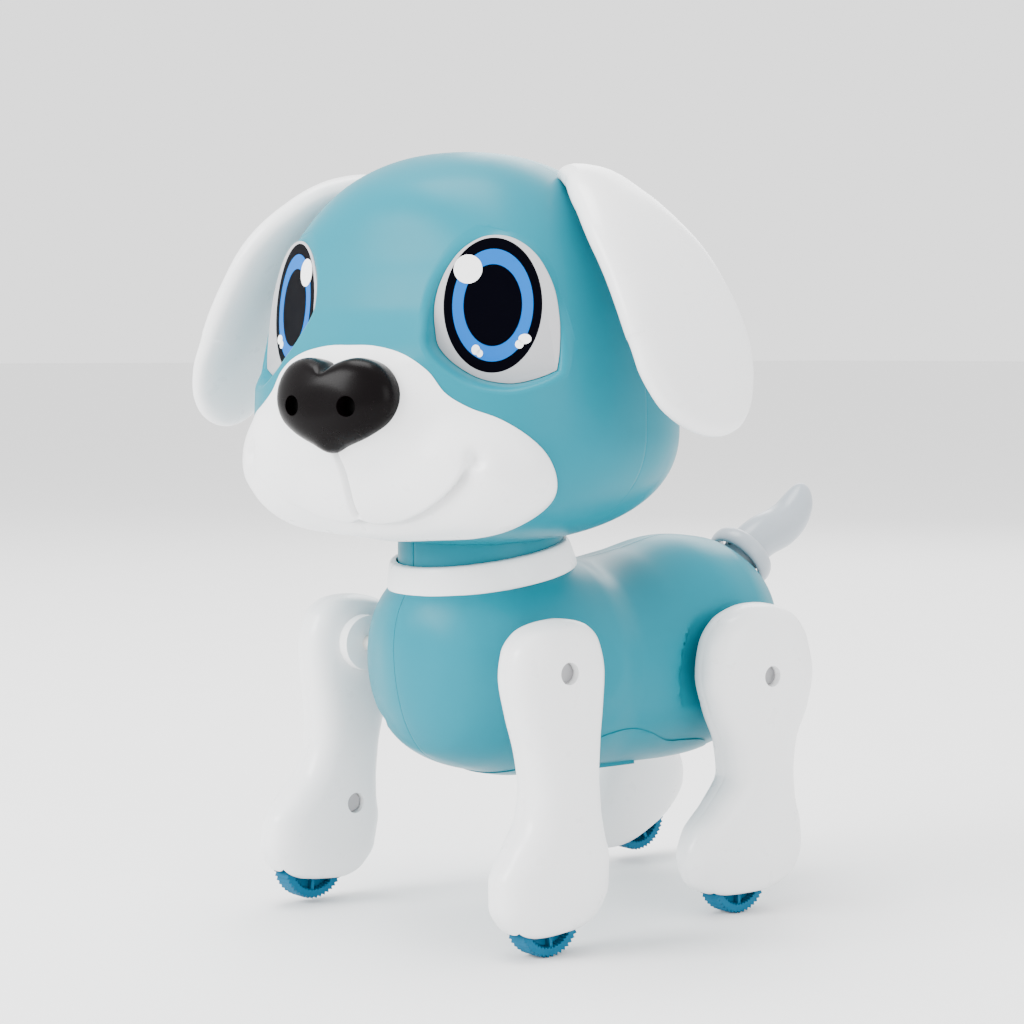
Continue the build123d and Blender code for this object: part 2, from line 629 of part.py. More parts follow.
for name, side in (("ear_left", 1), ("ear_right", -1)):
    with BuildPart() as ear:
        for i, (x, y, z, wide, thick) in enumerate(EAR_LINE):
            before, after = EAR_LINE[max(i - 1, 0)], EAR_LINE[min(i + 1, len(EAR_LINE) - 1)]
            way = Vector(side * (after[0] - before[0]), after[1] - before[1], after[2] - before[2])
            level = Vector(side * sin(radians(EAR_TWIST)), cos(radians(EAR_TWIST)), 0)
            across = level - way * (level.dot(way) / way.length**2)
            with BuildSketch(Plane((side * x, y, z), x_dir=across, z_dir=way)):
                Ellipse(wide / 2, thick / 2)
        loft()
        with Locations(Location((side * EAR_PIVOT[0], HEAD_SEAM_Y, EAR_PIVOT[1]), (90, 0, 0))):
            Cylinder(3.6, 9)
            Cylinder(2, 16)
        with Locations(Location((side * (EAR_PIVOT[0] + 2.4), HEAD_SEAM_Y, EAR_PIVOT[1] + 1.8), (0, side * 35, 0))):
            Box(7, 8, 5)
    save(ear, name, HEAD_PLACE)
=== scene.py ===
"""The looks of a wheeled robot puppy: smooth moulded shells over its working frame.

Every piece is drawn in millimetres and then set over the frame in metres. The toy faces -Y and its
left side is +X. The head is drawn about the neck axis facing straight ahead, and each leg about its
hip, before they are turned to how they stand at rest.
"""

import json
import logging
import math
from dataclasses import dataclass, field
from enum import Enum
from typing import Callable

import bmesh
import bpy
import numpy as np
from mathutils import Matrix, Vector

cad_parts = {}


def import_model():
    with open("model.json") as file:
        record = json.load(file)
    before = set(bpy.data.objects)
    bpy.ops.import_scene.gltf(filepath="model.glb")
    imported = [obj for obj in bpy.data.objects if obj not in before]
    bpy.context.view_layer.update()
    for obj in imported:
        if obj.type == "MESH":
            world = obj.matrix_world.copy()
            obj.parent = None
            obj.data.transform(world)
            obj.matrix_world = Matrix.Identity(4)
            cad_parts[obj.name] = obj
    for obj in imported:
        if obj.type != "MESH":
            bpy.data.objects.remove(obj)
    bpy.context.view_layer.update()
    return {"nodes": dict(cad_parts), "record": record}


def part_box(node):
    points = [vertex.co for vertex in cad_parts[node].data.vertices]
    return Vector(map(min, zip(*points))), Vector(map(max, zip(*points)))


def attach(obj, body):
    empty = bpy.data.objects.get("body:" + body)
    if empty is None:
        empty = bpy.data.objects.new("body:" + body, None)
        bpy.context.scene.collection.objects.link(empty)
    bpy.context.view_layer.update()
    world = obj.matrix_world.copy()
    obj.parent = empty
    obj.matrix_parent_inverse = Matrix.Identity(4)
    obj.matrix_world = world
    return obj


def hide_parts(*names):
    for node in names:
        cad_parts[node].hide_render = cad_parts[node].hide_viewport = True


log = logging.getLogger("puppy")
MM = 0.001
Shaper = Callable[[np.ndarray], np.ndarray]


# ---------------------------------------------------------------- finishes
def start_material(name: str) -> tuple[bpy.types.Material, bpy.types.Node, bpy.types.NodeSocket]:
    """A new material, its shader and the place on the piece that textures are read at."""
    material = bpy.data.materials.new(name)
    material.use_nodes = True
    place = material.node_tree.nodes.new("ShaderNodeTexCoord")
    return material, material.node_tree.nodes["Principled BSDF"], place.outputs["Object"]


def noise(
    material: bpy.types.Material, place: bpy.types.NodeSocket, scale: float, detail: float
) -> bpy.types.Node:
    """A noise texture read at a place."""
    node = material.node_tree.nodes.new("ShaderNodeTexNoise")
    node.inputs["Scale"].default_value = scale
    node.inputs["Detail"].default_value = detail
    material.node_tree.links.new(place, node.inputs["Vector"])
    return node


def vary_gloss(material: bpy.types.Material, texture: bpy.types.Node, low: float, high: float) -> None:
    """Let a texture move the roughness between two values."""
    tree = material.node_tree
    gloss = tree.nodes.new("ShaderNodeMapRange")
    gloss.inputs["To Min"].default_value = low
    gloss.inputs["To Max"].default_value = high
    tree.links.new(texture.outputs["Fac"], gloss.inputs["Value"])
    tree.links.new(gloss.outputs["Result"], tree.nodes["Principled BSDF"].inputs["Roughness"])


def raise_bump(material: bpy.types.Material, texture: bpy.types.Node, strength: float, height: float) -> None:
    """Let a texture raise a fine bump."""
    tree = material.node_tree
    bump = tree.nodes.new("ShaderNodeBump")
    bump.inputs["Strength"].default_value = strength
    bump.inputs["Distance"].default_value = height
    tree.links.new(texture.outputs["Fac"], bump.inputs["Height"])
    tree.links.new(bump.outputs["Normal"], tree.nodes["Principled BSDF"].inputs["Normal"])


@dataclass(frozen=True)
class MouldedPlastic:
    """A moulded plastic: its colour, how glossy it is and how strong its fine moulding texture is."""

    name: str
    colour: tuple[float, float, float]
    roughness: float = 0.3
    coat: float = 0.0
    grain: float = 0.06
    shift: float = 0.03
    subsurface: float = 0.0
    specular: float = 0.4

    def build(self) -> bpy.types.Material:
        """Make the material.

        Returns:
            A material whose colour, gloss and bump all vary a little, as moulded plastic does.
        """
        material, shader, place = start_material(self.name)
        cloud = noise(material, place, 22.0, 3.0)  # slow drift of colour through a moulding
        tint = material.node_tree.nodes.new("ShaderNodeValToRGB")
        shares = (1 - self.shift, 1 + self.shift)
        for stop, position, share in zip(tint.color_ramp.elements, (0.35, 0.65), shares):
            stop.position = position
            stop.color = (*(min(1.0, part * share) for part in self.colour), 1)
        material.node_tree.links.new(cloud.outputs["Fac"], tint.inputs["Fac"])
        material.node_tree.links.new(tint.outputs["Color"], shader.inputs["Base Color"])
        handling = noise(material, place, 160.0, 6.0)  # faint handling marks in the gloss
        vary_gloss(material, handling, self.roughness * 0.9, self.roughness * 1.12)
        fine = noise(material, place, 2600.0, 2.0)  # the mould's own fine texture
        raise_bump(material, fine, self.grain, 0.00004)
        shader.inputs["Specular IOR Level"].default_value = self.specular
        shader.inputs["Coat Weight"].default_value = self.coat
        shader.inputs["Coat Roughness"].default_value = 0.12
        shader.inputs["Subsurface Weight"].default_value = self.subsurface
        shader.inputs["Subsurface Radius"].default_value = (1.0, 1.0, 1.0)
        shader.inputs["Subsurface Scale"].default_value = 0.002
        return material


@dataclass(frozen=True)
class TurnedSteel:
    """Bright steel with fine turning marks."""

    name: str
    colour: tuple[float, float, float] = (0.30, 0.30, 0.31)
    roughness: float = 0.28

    def build(self) -> bpy.types.Material:
        """Make the material.

        Returns:
            A metal whose gloss and bump carry fine marks.
        """
        material, shader, place = start_material(self.name)
        shader.inputs["Base Color"].default_value = (*self.colour, 1)
        shader.inputs["Metallic"].default_value = 1.0
        stretch = material.node_tree.nodes.new("ShaderNodeMapping")
        stretch.inputs["Scale"].default_value = (4000.0, 300.0, 300.0)
        material.node_tree.links.new(place, stretch.inputs["Vector"])
        marks = noise(material, stretch.outputs["Vector"], 1.0, 3.0)
        vary_gloss(material, marks, self.roughness * 0.7, self.roughness * 1.5)
        raise_bump(material, marks, 0.15, 0.00005)
        return material


class Finish(Enum):
    """Every finish the toy has."""

    CYAN = MouldedPlastic("cyan_shell", (0.0, 0.170, 0.228), 0.34, specular=0.12, shift=0.02)
    WHITE = MouldedPlastic("white_shell", (0.84, 0.845, 0.85), 0.28, coat=0.1, shift=0.01, subsurface=0.05)
    PALE_GREY = MouldedPlastic("pale_grey_shell", (0.36, 0.40, 0.44), 0.3, coat=0.1, shift=0.015)
    TEAL = MouldedPlastic("teal_wheel", (0.0, 0.10, 0.19), 0.42, grain=0.25, specular=0.1)
    NOSE = MouldedPlastic("nose_black", (0.0016, 0.0009, 0.0011), 0.27, grain=0.03, specular=0.07)
    NOSTRIL = MouldedPlastic("nostril_black", (0.0008, 0.0006, 0.0006), 0.5, specular=0.05)
    EYE_GREY = MouldedPlastic("eye_panel_grey", (0.40, 0.40, 0.415), 0.3, grain=0.02, shift=0.01, specular=0.25)
    EYE_NAVY = MouldedPlastic("eye_print_navy", (0.0002, 0.0002, 0.0016), 0.4, grain=0.02, specular=0.02)
    EYE_BLUE = MouldedPlastic("eye_print_blue", (0.0, 0.11, 0.42), 0.4, grain=0.02, specular=0.05)
    EYE_WHITE = MouldedPlastic("eye_print_white", (0.95, 0.95, 0.95), 0.4, grain=0.02, specular=0.2)
    GEAR = MouldedPlastic("gear_acetal", (0.5, 0.5, 0.47), 0.38, grain=0.2)
    FRAME = MouldedPlastic("frame_nylon", (0.03, 0.03, 0.034), 0.5, grain=0.4)
    BOARD = MouldedPlastic("circuit_board", (0.004, 0.07, 0.025), 0.35, grain=0.6, shift=0.2)
    WRAP = MouldedPlastic("battery_wrap", (0.008, 0.025, 0.15), 0.3, grain=0.2)
    STEEL = TurnedSteel("bright_steel")

    def material(self) -> bpy.types.Material:
        """The finish's material, made the first time it is asked for."""
        return bpy.data.materials.get(self.value.name) or self.value.build()


# ---------------------------------------------------------------- tools of the bench
def signed_power(value: np.ndarray, power: float) -> np.ndarray:
    """A power that keeps its sign."""
    return np.sign(value) * np.abs(value) ** power


def smooth_step(value: np.ndarray, low: float, high: float) -> np.ndarray:
    """Rise smoothly from 0 at low to 1 at high."""
    t = np.clip((value - low) / (high - low), 0.0, 1.0)
    return t * t * (3 - 2 * t)


def smooth_max(a: np.ndarray, b: np.ndarray, blend: float) -> np.ndarray:
    """The larger of two distances, with the crease between them filled over a blend width."""
    h = np.maximum(blend - np.abs(a - b), 0.0) / blend
    return np.maximum(a, b) + h * h * blend / 4


def flow(
    stations: list[tuple[float, ...]], where: np.ndarray, rounded: tuple[int, ...] = ()
) -> list[np.ndarray]:
    """Read smooth values between stations.

    Args:
        stations: Rows whose first value is the position and whose others are carried along.
        where: The positions to read at.
        rounded: Columns, counted without the position, that close in a round end at 0.

    Returns:
        One array per carried value.
    """
    table = np.array(stations, float)
    at, values = table[:, 0], table[:, 1:].copy()
    for column in rounded:
        values[:, column] **= 2
    slopes = np.zeros_like(values)
    steps = np.diff(at)[:, None]
    chords = np.diff(values, axis=0) / steps
    for i in range(1, len(at) - 1):
        before, after = chords[i - 1], chords[i]
        same = before * after > 0
        w1, w2 = 2 * steps[i] + steps[i - 1], steps[i] + 2 * steps[i - 1]
        with np.errstate(divide="ignore", invalid="ignore"):
            mean = (w1 + w2) / (w1 / before + w2 / after)
        slopes[i] = np.where(same, mean, 0.0)
    slopes[0], slopes[-1] = chords[0] * 1.5 - slopes[1] * 0.5, chords[-1] * 1.5 - slopes[-2] * 0.5
    i = np.clip(np.searchsorted(at, where) - 1, 0, len(at) - 2)
    h = (at[i + 1] - at[i])[:, None]
    t = ((where - at[i])[:, None]) / h
    result = (
        (2 * t**3 - 3 * t**2 + 1) * values[i]
        + (t**3 - 2 * t**2 + t) * h * slopes[i]
        + (-2 * t**3 + 3 * t**2) * values[i + 1]
        + (t**3 - t**2) * h * slopes[i + 1]
    )
    for column in rounded:
        result[:, column] = np.sqrt(np.maximum(result[:, column], 0.0))
    return [result[:, column] for column in range(result.shape[1])]


def closed_curve(points: list[tuple[float, ...]] | np.ndarray, steps: int) -> np.ndarray:
    """A smooth closed curve through points.

    Args:
        points: The points that shape the curve, in order.
        steps: How many points each span becomes.

    Returns:
        The curve's points as rows.
    """
    table = np.array(points, float)
    rows = []
    for i in range(len(table)):
        p0, p1, p2, p3 = (table[(i + k) % len(table)] for k in (-1, 0, 1, 2))
        for step in range(steps):
            t = step / steps
            bend, twist = 2 * p0 - 5 * p1 + 4 * p2 - p3, 3 * p1 - p0 - 3 * p2 + p3
            rows.append(0.5 * (2 * p1 + (p2 - p0) * t + bend * t**2 + twist * t**3))
    return np.array(rows)


def mirrored(half: list[tuple[float, float]]) -> np.ndarray:
    """A closed outline from its half, which starts and ends on the middle line."""
    rows = np.array(half)
    return np.concatenate([rows, rows[-2:0:-1] * np.array([-1, 1])])


def length_towards(edge: np.ndarray, around: np.ndarray) -> np.ndarray:
    """How far a closed edge about the origin lies in each direction."""
    spokes, lengths = np.arctan2(edge[:, 1], edge[:, 0]), np.hypot(edge[:, 0], edge[:, 1])
    order = np.argsort(spokes)
    return np.interp(around, spokes[order], lengths[order], period=2 * math.pi)


def with_run(line: list[tuple[float, ...]], size: int) -> list[tuple[float, ...]]:
    """A line's stations, each led by how far along the line it stands.

    Args:
        line: Rows that start with the station's place.
        size: How many values the place has.

    Returns:
        The same rows with the distance run put first.
    """
    steps = np.linalg.norm(np.diff(np.array(line)[:, :size], axis=0), axis=1)
    return [(run, *row) for run, row in zip(np.concatenate([[0], np.cumsum(steps)]), line)]


def distance_to(points: np.ndarray, curve: np.ndarray) -> tuple[np.ndarray, np.ndarray]:
    """How far points lie from a curve.

    Args:
        points: Rows of points.
        curve: Rows of points along the curve.

    Returns:
        The distances, and the index of each nearest point of the curve.
    """
    best = np.full(len(points), 1e9)
    index = np.zeros(len(points), int)
    for i, point in enumerate(curve):
        d = np.linalg.norm(points - point, axis=1)
        closer = d < best
        best[closer], index[closer] = d[closer], i
    return best, index


class Bench:
    """Where pieces are started, cut and finished, always with nothing else selected."""

    @staticmethod
    def clear() -> None:
        """Leave object mode on nothing selected."""
        if bpy.context.object and bpy.context.object.mode != "OBJECT":
            bpy.ops.object.mode_set(mode="OBJECT")
        bpy.ops.object.select_all(action="DESELECT")

    @classmethod
    def hold(cls, piece: bpy.types.Object) -> None:
        """Select one piece and nothing else."""
        cls.clear()
        bpy.context.view_layer.objects.active = piece
        piece.select_set(True)

    @classmethod
    def ball(cls, name: str, segments: int, rings: int, shape: Shaper) -> bpy.types.Object:
        """Start from a ball and press it to shape.

        Args:
            name: The piece's name.
            segments: Faces round the ball.
            rings: Faces from pole to pole.
            shape: Takes the unit ball's points, returns them in millimetres.

        Returns:
            The shaped piece, in metres.
        """
        cls.clear()
        bpy.ops.mesh.primitive_uv_sphere_add(segments=segments, ring_count=rings, radius=1.0)
        piece = bpy.context.object
        piece.name = piece.data.name = name
        cls.press(piece, lambda points: shape(points) * MM)
        cls.face_outwards(piece)
        return piece

    @staticmethod
    def points(piece: bpy.types.Object) -> np.ndarray:
        """A piece's points as rows."""
        flat = np.empty(len(piece.data.vertices) * 3)
        piece.data.vertices.foreach_get("co", flat)
        return flat.reshape(-1, 3)

    @classmethod
    def press(cls, piece: bpy.types.Object, shape: Shaper) -> None:
        """Move every point of a piece by a rule."""
        piece.data.vertices.foreach_set("co", np.ascontiguousarray(shape(cls.points(piece))).ravel())
        piece.data.update()

    @classmethod
    def face_outwards(cls, piece: bpy.types.Object) -> None:
        """Turn every face of a piece to point outwards."""
        cls.hold(piece)
        bpy.ops.object.mode_set(mode="EDIT")
        bpy.ops.mesh.select_all(action="SELECT")
        bpy.ops.mesh.normals_make_consistent(inside=False)
        bpy.ops.object.mode_set(mode="OBJECT")

    @classmethod
    def settle(cls, piece: bpy.types.Object) -> None:
        """Put a piece's own place and turn into its mesh."""
        cls.hold(piece)
        bpy.ops.object.transform_apply(location=True, rotation=True, scale=True)

    @classmethod
    def modify(cls, piece: bpy.types.Object, kind: str, **settings: object) -> None:
        """Add a modifier with settings and apply it."""
        cls.hold(piece)
        modifier = piece.modifiers.new(kind.lower(), kind)
        for key, value in settings.items():
            setattr(modifier, key, value)
        bpy.ops.object.modifier_apply(modifier=modifier.name)

    @classmethod
    def cut(cls, piece: bpy.types.Object, cutter: bpy.types.Object, way: str = "DIFFERENCE") -> None:
        """Cut a piece with another, which is used up."""
        cls.modify(piece, "BOOLEAN", object=cutter, operation=way, solver="EXACT")
        bpy.data.objects.remove(cutter, do_unlink=True)

    @classmethod
    def halve(cls, piece: bpy.types.Object, point: Vector, normal: Vector) -> None:
        """Keep the part of a closed piece on a plane's far side, and close it."""
        cls.hold(piece)
        bpy.ops.object.mode_set(mode="EDIT")
        bpy.ops.mesh.select_all(action="SELECT")
        bpy.ops.mesh.bisect(plane_co=point, plane_no=normal, use_fill=True, clear_inner=True)
        bpy.ops.object.mode_set(mode="OBJECT")

    @classmethod
    def copy(cls, piece: bpy.types.Object, name: str) -> bpy.types.Object:
        """A copy of a piece with its own mesh."""
        cls.clear()
        twin = piece.copy()
        twin.data = piece.data.copy()
        twin.name = twin.data.name = name
        bpy.context.collection.objects.link(twin)
        return twin

    @classmethod
    def block(cls, centre: Vector, size: Vector) -> bpy.types.Object:
        """A square block about a centre, in metres."""
        cls.clear()
        bpy.ops.mesh.primitive_cube_add(size=1.0, location=centre)
        block = bpy.context.object
        block.scale = size
        cls.settle(block)
        return block

    @classmethod
    def rod(cls, radius: float, start: Vector, end: Vector, sides: int = 64) -> bpy.types.Object:
        """A round bar between two points, in metres."""
        cls.clear()
        along = end - start
        bpy.ops.mesh.primitive_cylinder_add(
            vertices=sides, radius=radius, depth=along.length, location=(start + end) / 2,
            rotation=along.to_track_quat("Z", "Y").to_euler(),
        )
        bar = bpy.context.object
        cls.settle(bar)
        return bar

    @classmethod
    def prism(cls, name: str, outline: np.ndarray, depth: float, place: Matrix) -> bpy.types.Object:
        """A flat outline drawn out along its plane's Z.

        Args:
            name: The piece's name.
            outline: Rows of x and y, in metres.
            depth: How far it is drawn out.
            place: Where the outline's plane lies.

        Returns:
            The closed prism.
        """
        cls.clear()
        bpy.ops.mesh.primitive_circle_add(vertices=len(outline), radius=1.0, fill_type="NGON")
        piece = bpy.context.object
        piece.name = piece.data.name = name
        flat = np.zeros((len(outline), 3))
        flat[:, :2] = outline
        cls.press(piece, lambda _: flat)
        bpy.ops.object.mode_set(mode="EDIT")
        bpy.ops.mesh.select_all(action="SELECT")
        bpy.ops.mesh.extrude_region_move(TRANSFORM_OT_translate={"value": (0, 0, depth)})
        bpy.ops.object.mode_set(mode="OBJECT")
        piece.data.transform(place)
        cls.face_outwards(piece)
        return piece

    @classmethod
    def join(cls, pieces: list[bpy.types.Object], name: str) -> bpy.types.Object:
        """Join pieces into the first of them."""
        cls.clear()
        for piece in pieces:
            piece.select_set(True)
        bpy.context.view_layer.objects.active = pieces[0]
        bpy.ops.object.join()
        pieces[0].name = pieces[0].data.name = name
        return pieces[0]

    @classmethod
    def finish(
        cls, piece: bpy.types.Object, finish: Finish, body: str, *nodes: str, slot: str = "",
        angle: float = 40.0,
    ) -> bpy.types.Object:
        """Smooth, dress and hang a piece.

        Args:
            piece: The finished mesh.
            finish: Its finish.
            body: The body it moves with.
            nodes: The nodes it stands for.
            slot: The record's material slot. It is not used.
            angle: Edges sharper than this stay sharp.

        Returns:
            The piece.
        """
        cls.hold(piece)
        bpy.ops.object.shade_smooth_by_angle(angle=math.radians(angle))
        piece.data.materials.clear()
        piece.data.materials.append(finish.material())
        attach(piece, body)
        if nodes:
            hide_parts(*nodes)
        log.info("%s: %d faces on %s", piece.name, len(piece.data.polygons), body)
        return piece


# ---------------------------------------------------------------- where things stand
@dataclass
class Stance:
    """Where the toy's own lines stand in the frame, read from its joints."""

    joints: dict[str, dict]
    head_turn: float = 16.0

    def pivot(self, joint: str) -> Vector:
        """A joint's place, in metres."""
        return Vector(self.joints[joint]["pos_m"])

    @property
    def middle(self) -> Vector:
        """Where the toy's own origin lies: on its middle plane, on the floor."""
        neck = self.pivot("head_turn")
        return Vector((neck.x, neck.y + 30 * MM, 0.0))

    def body(self) -> Matrix:
        """The place of what is drawn about the toy's own origin."""
        return Matrix.Translation(self.middle)

    def head(self) -> Matrix:
        """The place of what is drawn about the neck axis."""
        neck = self.pivot("head_turn")
        return Matrix.Translation((neck.x, neck.y, 0)) @ Matrix.Rotation(math.radians(self.head_turn), 4, "Z")

    def leg(self, name: str, swing: float) -> Matrix:
        """The place of what is drawn about a hip, with y to the back and z up the leg."""
        hip = self.pivot(f"{name}_hip")
        turn = Matrix.Rotation(math.radians(swing), 4, "X")
        return Matrix.Translation((self.middle.x, hip.y, hip.z)) @ turn


def node_box(node: str) -> tuple[Vector, Vector]:
    """The middle and the size of a node's box, in metres."""
    low, high = (Vector(corner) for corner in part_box(node))
    return (low + high) / 2, high - low


# ---------------------------------------------------------------- body
@dataclass
class Body:
    """The two body shells, the neck, the collar and the belly cover."""

    stance: Stance
    stations: list[tuple[float, float, float, float]] = field(default_factory=lambda: [
        # y, half width, middle height, half height
        (-62.3, 0.0, 84.0, 0.0),
        (-60.6, 10.5, 82.5, 12.5),
        (-57.5, 19.5, 80.8, 20.0),
        (-51.0, 29.0, 79.5, 27.5),
        (-38.6, 37.2, 79.3, 32.6),
        (-22.5, 39.6, 78.8, 35.2),
        (-6.0, 37.6, 77.6, 34.0),
        (8.0, 34.4, 75.6, 32.2),
        (24.0, 34.3, 76.6, 33.4),
        (42.0, 35.0, 78.6, 35.1),
        (57.0, 32.0, 79.6, 33.0),
        (69.0, 25.5, 80.6, 26.8),
        (77.0, 17.5, 82.0, 19.4),
        (81.8, 9.5, 83.0, 11.0),
        (83.6, 0.0, 83.5, 0.0),
    ])
    screws: tuple[tuple[float, float], ...] = ((-52, 61.5), (-2, 101), (30, 106), (66, 72))
    screw_floor: float = 11.0
    fullness: float = 2.08
    collar_height: float = 108.5
    collar_tilt: float = 9.5
    belly_line: list[tuple[float, float]] = field(default_factory=lambda: [
        (-34, 44), (-24, 50), (-14, 55), (-4, 57.6), (5, 58), (14, 55.8), (24, 52), (33, 51.4), (42, 50),
        (52, 44),
    ])

    def skin(self, points: np.ndarray, proud: float = 0.0) -> np.ndarray:
        """The body's outside.

        Args:
            points: The unit ball's points.
            proud: How far it stands outside the shell.

        Returns:
            Points in millimetres.
        """
        first, last = self.stations[0][0], self.stations[-1][0]
        y = first + (last - first) * (points[:, 2] + 1) / 2
        wide, middle, high = flow(self.stations, y, rounded=(0, 2))
        around = np.arctan2(points[:, 1], points[:, 0])
        power = 2 / self.fullness
        x = (wide + proud) * signed_power(np.cos(around), power)
        z = middle + (high + proud) * signed_power(np.sin(around), power)
        haunch = np.hypot(y - 44, z - 73)
        flat = 31.5 + proud + 6 * smooth_step(haunch, 22.4, 24.6)
        x = np.where(np.abs(x) > flat, np.sign(x) * flat, x)
        return np.stack([x, y, z], axis=1)

    def build(self) -> None:
        """Make every piece of the body."""
        place = self.stance.body()
        whole = Bench.ball("body_skin", 160, 180, self.skin)
        whole.data.transform(place)
        belly = Bench.ball("belly_skin", 160, 180, lambda points: self.skin(points, 0.3))
        belly.data.transform(place)

        neck_axis = self.stance.pivot("head_turn")
        neck = Bench.rod(25 * MM, Vector((neck_axis.x, neck_axis.y, 92 * MM)),
                         Vector((neck_axis.x, neck_axis.y, 117.5 * MM)), 128)
        Bench.modify(neck, "BEVEL", width=0.6 * MM, segments=3, limit_method="ANGLE")
        self.belly(belly)
        for name, side in (("body_left_shell", 1), ("body_right_shell", -1)):
            halves = [Bench.copy(whole, f"{name}_skin"), Bench.copy(neck, f"{name}_neck")]
            for part in halves:
                seam = self.stance.middle.x + side * 0.10 * MM
                Bench.cut(part, Bench.block(Vector((seam - side * 0.1, 0, 0.1)), Vector((0.2, 0.3, 0.3))))
                Bench.modify(part, "BEVEL", width=0.35 * MM, segments=2, limit_method="ANGLE",
                             angle_limit=math.radians(60))
            half = halves[0]
            knob, size = node_box("power_switch_knob")
            Bench.cut(half, Bench.block(knob + Vector((1.5 * MM, 0, 0)), size + Vector((8, 1.2, 2)) * MM))
            for y, z in self.screws if side < 0 else ():
                here = self.stance.middle + Vector((-self.screw_floor, y, z)) * MM
                Bench.cut(half, Bench.rod(3.0 * MM, here, here - Vector((0.04, 0, 0)), 40))
            half = Bench.join(halves, f"{name}_skin")
            Bench.finish(half, Finish.CYAN, "torso", name, slot="cyan_plastic")
        bpy.data.objects.remove(whole, do_unlink=True)
        bpy.data.objects.remove(neck, do_unlink=True)
        self.collar()

    def belly(self, belly: bpy.types.Object) -> None:
        """Cut the belly cover from a skin that stands a little proud of the shells."""
        curve = closed_curve([*self.belly_line, (52, 38), (0, 34), (-34, 38)], 8)
        side_view = Matrix(((0, 0, 1, -0.06), (1, 0, 0, 0), (0, 1, 0, 0), (0, 0, 0, 1)))
        cross = Matrix.Translation(self.stance.middle) @ side_view
        block = Bench.prism("belly_block", curve * MM, 0.12, cross)
        Bench.cut(belly, block, "INTERSECT")
        door, size = node_box("battery_door")
        Bench.cut(belly, Bench.block(door, Vector((size.x + 0.25 * MM, size.y + 0.25 * MM, 4.0 * MM))))
        knob, _ = node_box("power_switch_knob")
        slot = Vector((self.stance.middle.x, knob.y, 43 * MM))
        Bench.cut(belly, Bench.block(slot, Vector((6.6, 2.6, 8)) * MM))
        socket, _ = node_box("charging_socket")
        low, high = Vector((socket.x, socket.y, 40 * MM)), Vector((socket.x, socket.y, 50 * MM))
        Bench.cut(belly, Bench.rod(2.7 * MM, low, high))
        Bench.modify(belly, "BEVEL", width=0.2 * MM, segments=2, limit_method="ANGLE",
                     angle_limit=math.radians(50))
        belly.name = belly.data.name = "belly_cover_skin"
        Bench.finish(belly, Finish.CYAN, "torso", "belly_cover", slot="cyan_plastic")

    def collar(self) -> None:
        """Turn the collar's rounded section about the neck and lay it low at the front."""
        Bench.clear()
        bpy.ops.mesh.primitive_torus_add(major_segments=160, minor_segments=32, major_radius=1.0,
                                         minor_radius=0.25)
        ring = bpy.context.object
        ring.name = ring.data.name = "collar_skin"

        def section(points: np.ndarray) -> np.ndarray:
            """Press the torus to the collar's tapered, softly edged section."""
            out = np.hypot(points[:, 0], points[:, 1])
            around = np.arctan2(points[:, 1], points[:, 0])
            across, up = (out - 1) / 0.25, points[:, 2] / 0.25
            turn = np.arctan2(up, across)
            z = 4.3 * signed_power(np.sin(turn), 0.42)
            radius = 26.9 - 0.22 * z + 1.35 * signed_power(np.cos(turn), 0.5)
            radius = np.where(np.cos(turn) < 0, 25.25, radius)
            return np.stack([radius * np.cos(around), radius * np.sin(around), z], axis=1) * MM

        Bench.press(ring, section)
        Bench.face_outwards(ring)
        neck = self.stance.pivot("head_turn")
        ring.data.transform(
            Matrix.Translation((neck.x, neck.y, self.collar_height * MM))
            @ Matrix.Rotation(math.radians(self.collar_tilt), 4, "X")
        )
        Bench.finish(ring, Finish.WHITE, "torso", "collar_ring", slot="white_plastic", angle=60)


# ---------------------------------------------------------------- legs and wheels
@dataclass
class LegShape:
    """A leg's side view about its hip: z, front edge, back edge and half thickness at each station.

    The inner and outer faces are measured from the toy's middle, and the hub stands in from the inner.
    """

    stations: list[tuple[float, float, float, float]]
    inner: float
    outer: float
    hub: float
    wheel: tuple[float, float]
    screw: tuple[float, float]
    fullness: float = 2.7


FRONT_LEG = LegShape(
    stations=[
        (-75.2, -6.0, -6.0, 0.0),
        (-74.0, -17.5, 4.5, 6.2),
        (-70.5, -22.8, 10.0, 8.2),
        (-64.0, -25.6, 13.8, 9.0),
        (-57.0, -25.0, 14.6, 9.0),
        (-49.0, -19.8, 13.2, 9.0),
        (-41.0, -14.0, 12.2, 8.9),
        (-32.0, -11.8, 12.2, 8.9),
        (-22.0, -12.6, 13.6, 8.9),
        (-11.0, -15.0, 15.8, 9.0),
        (-1.0, -16.4, 17.2, 9.0),
        (7.0, -14.8, 15.8, 8.6),
        (12.0, -10.2, 11.8, 7.2),
        (14.6, 1.0, 1.0, 0.0),
    ],
    inner=42, outer=60, hub=3.2, wheel=(-8.8, -70.0), screw=(1.5, -50.5),
)
REAR_LEG = LegShape(
    stations=[
        (-67.4, -6.0, -6.0, 0.0),
        (-66.0, -19.4, 7.0, 6.4),
        (-61.0, -26.6, 15.8, 8.2),
        (-54.0, -28.6, 18.2, 9.0),
        (-47.0, -26.2, 17.6, 9.0),
        (-39.0, -18.0, 15.0, 9.0),
        (-30.0, -11.6, 13.8, 8.9),
        (-21.0, -13.0, 15.0, 8.9),
        (-10.0, -18.2, 20.4, 9.0),
        (0.0, -21.2, 22.6, 9.0),
        (10.0, -19.8, 20.2, 8.8),
        (17.0, -14.8, 15.4, 7.8),
        (20.8, -7.0, 8.0, 5.2),
        (22.0, 0.5, 0.5, 0.0),
    ],
    inner=32.2, outer=50.2, hub=0.4, wheel=(-8.0, -62.0), screw=(-1.0, -30.0),
)


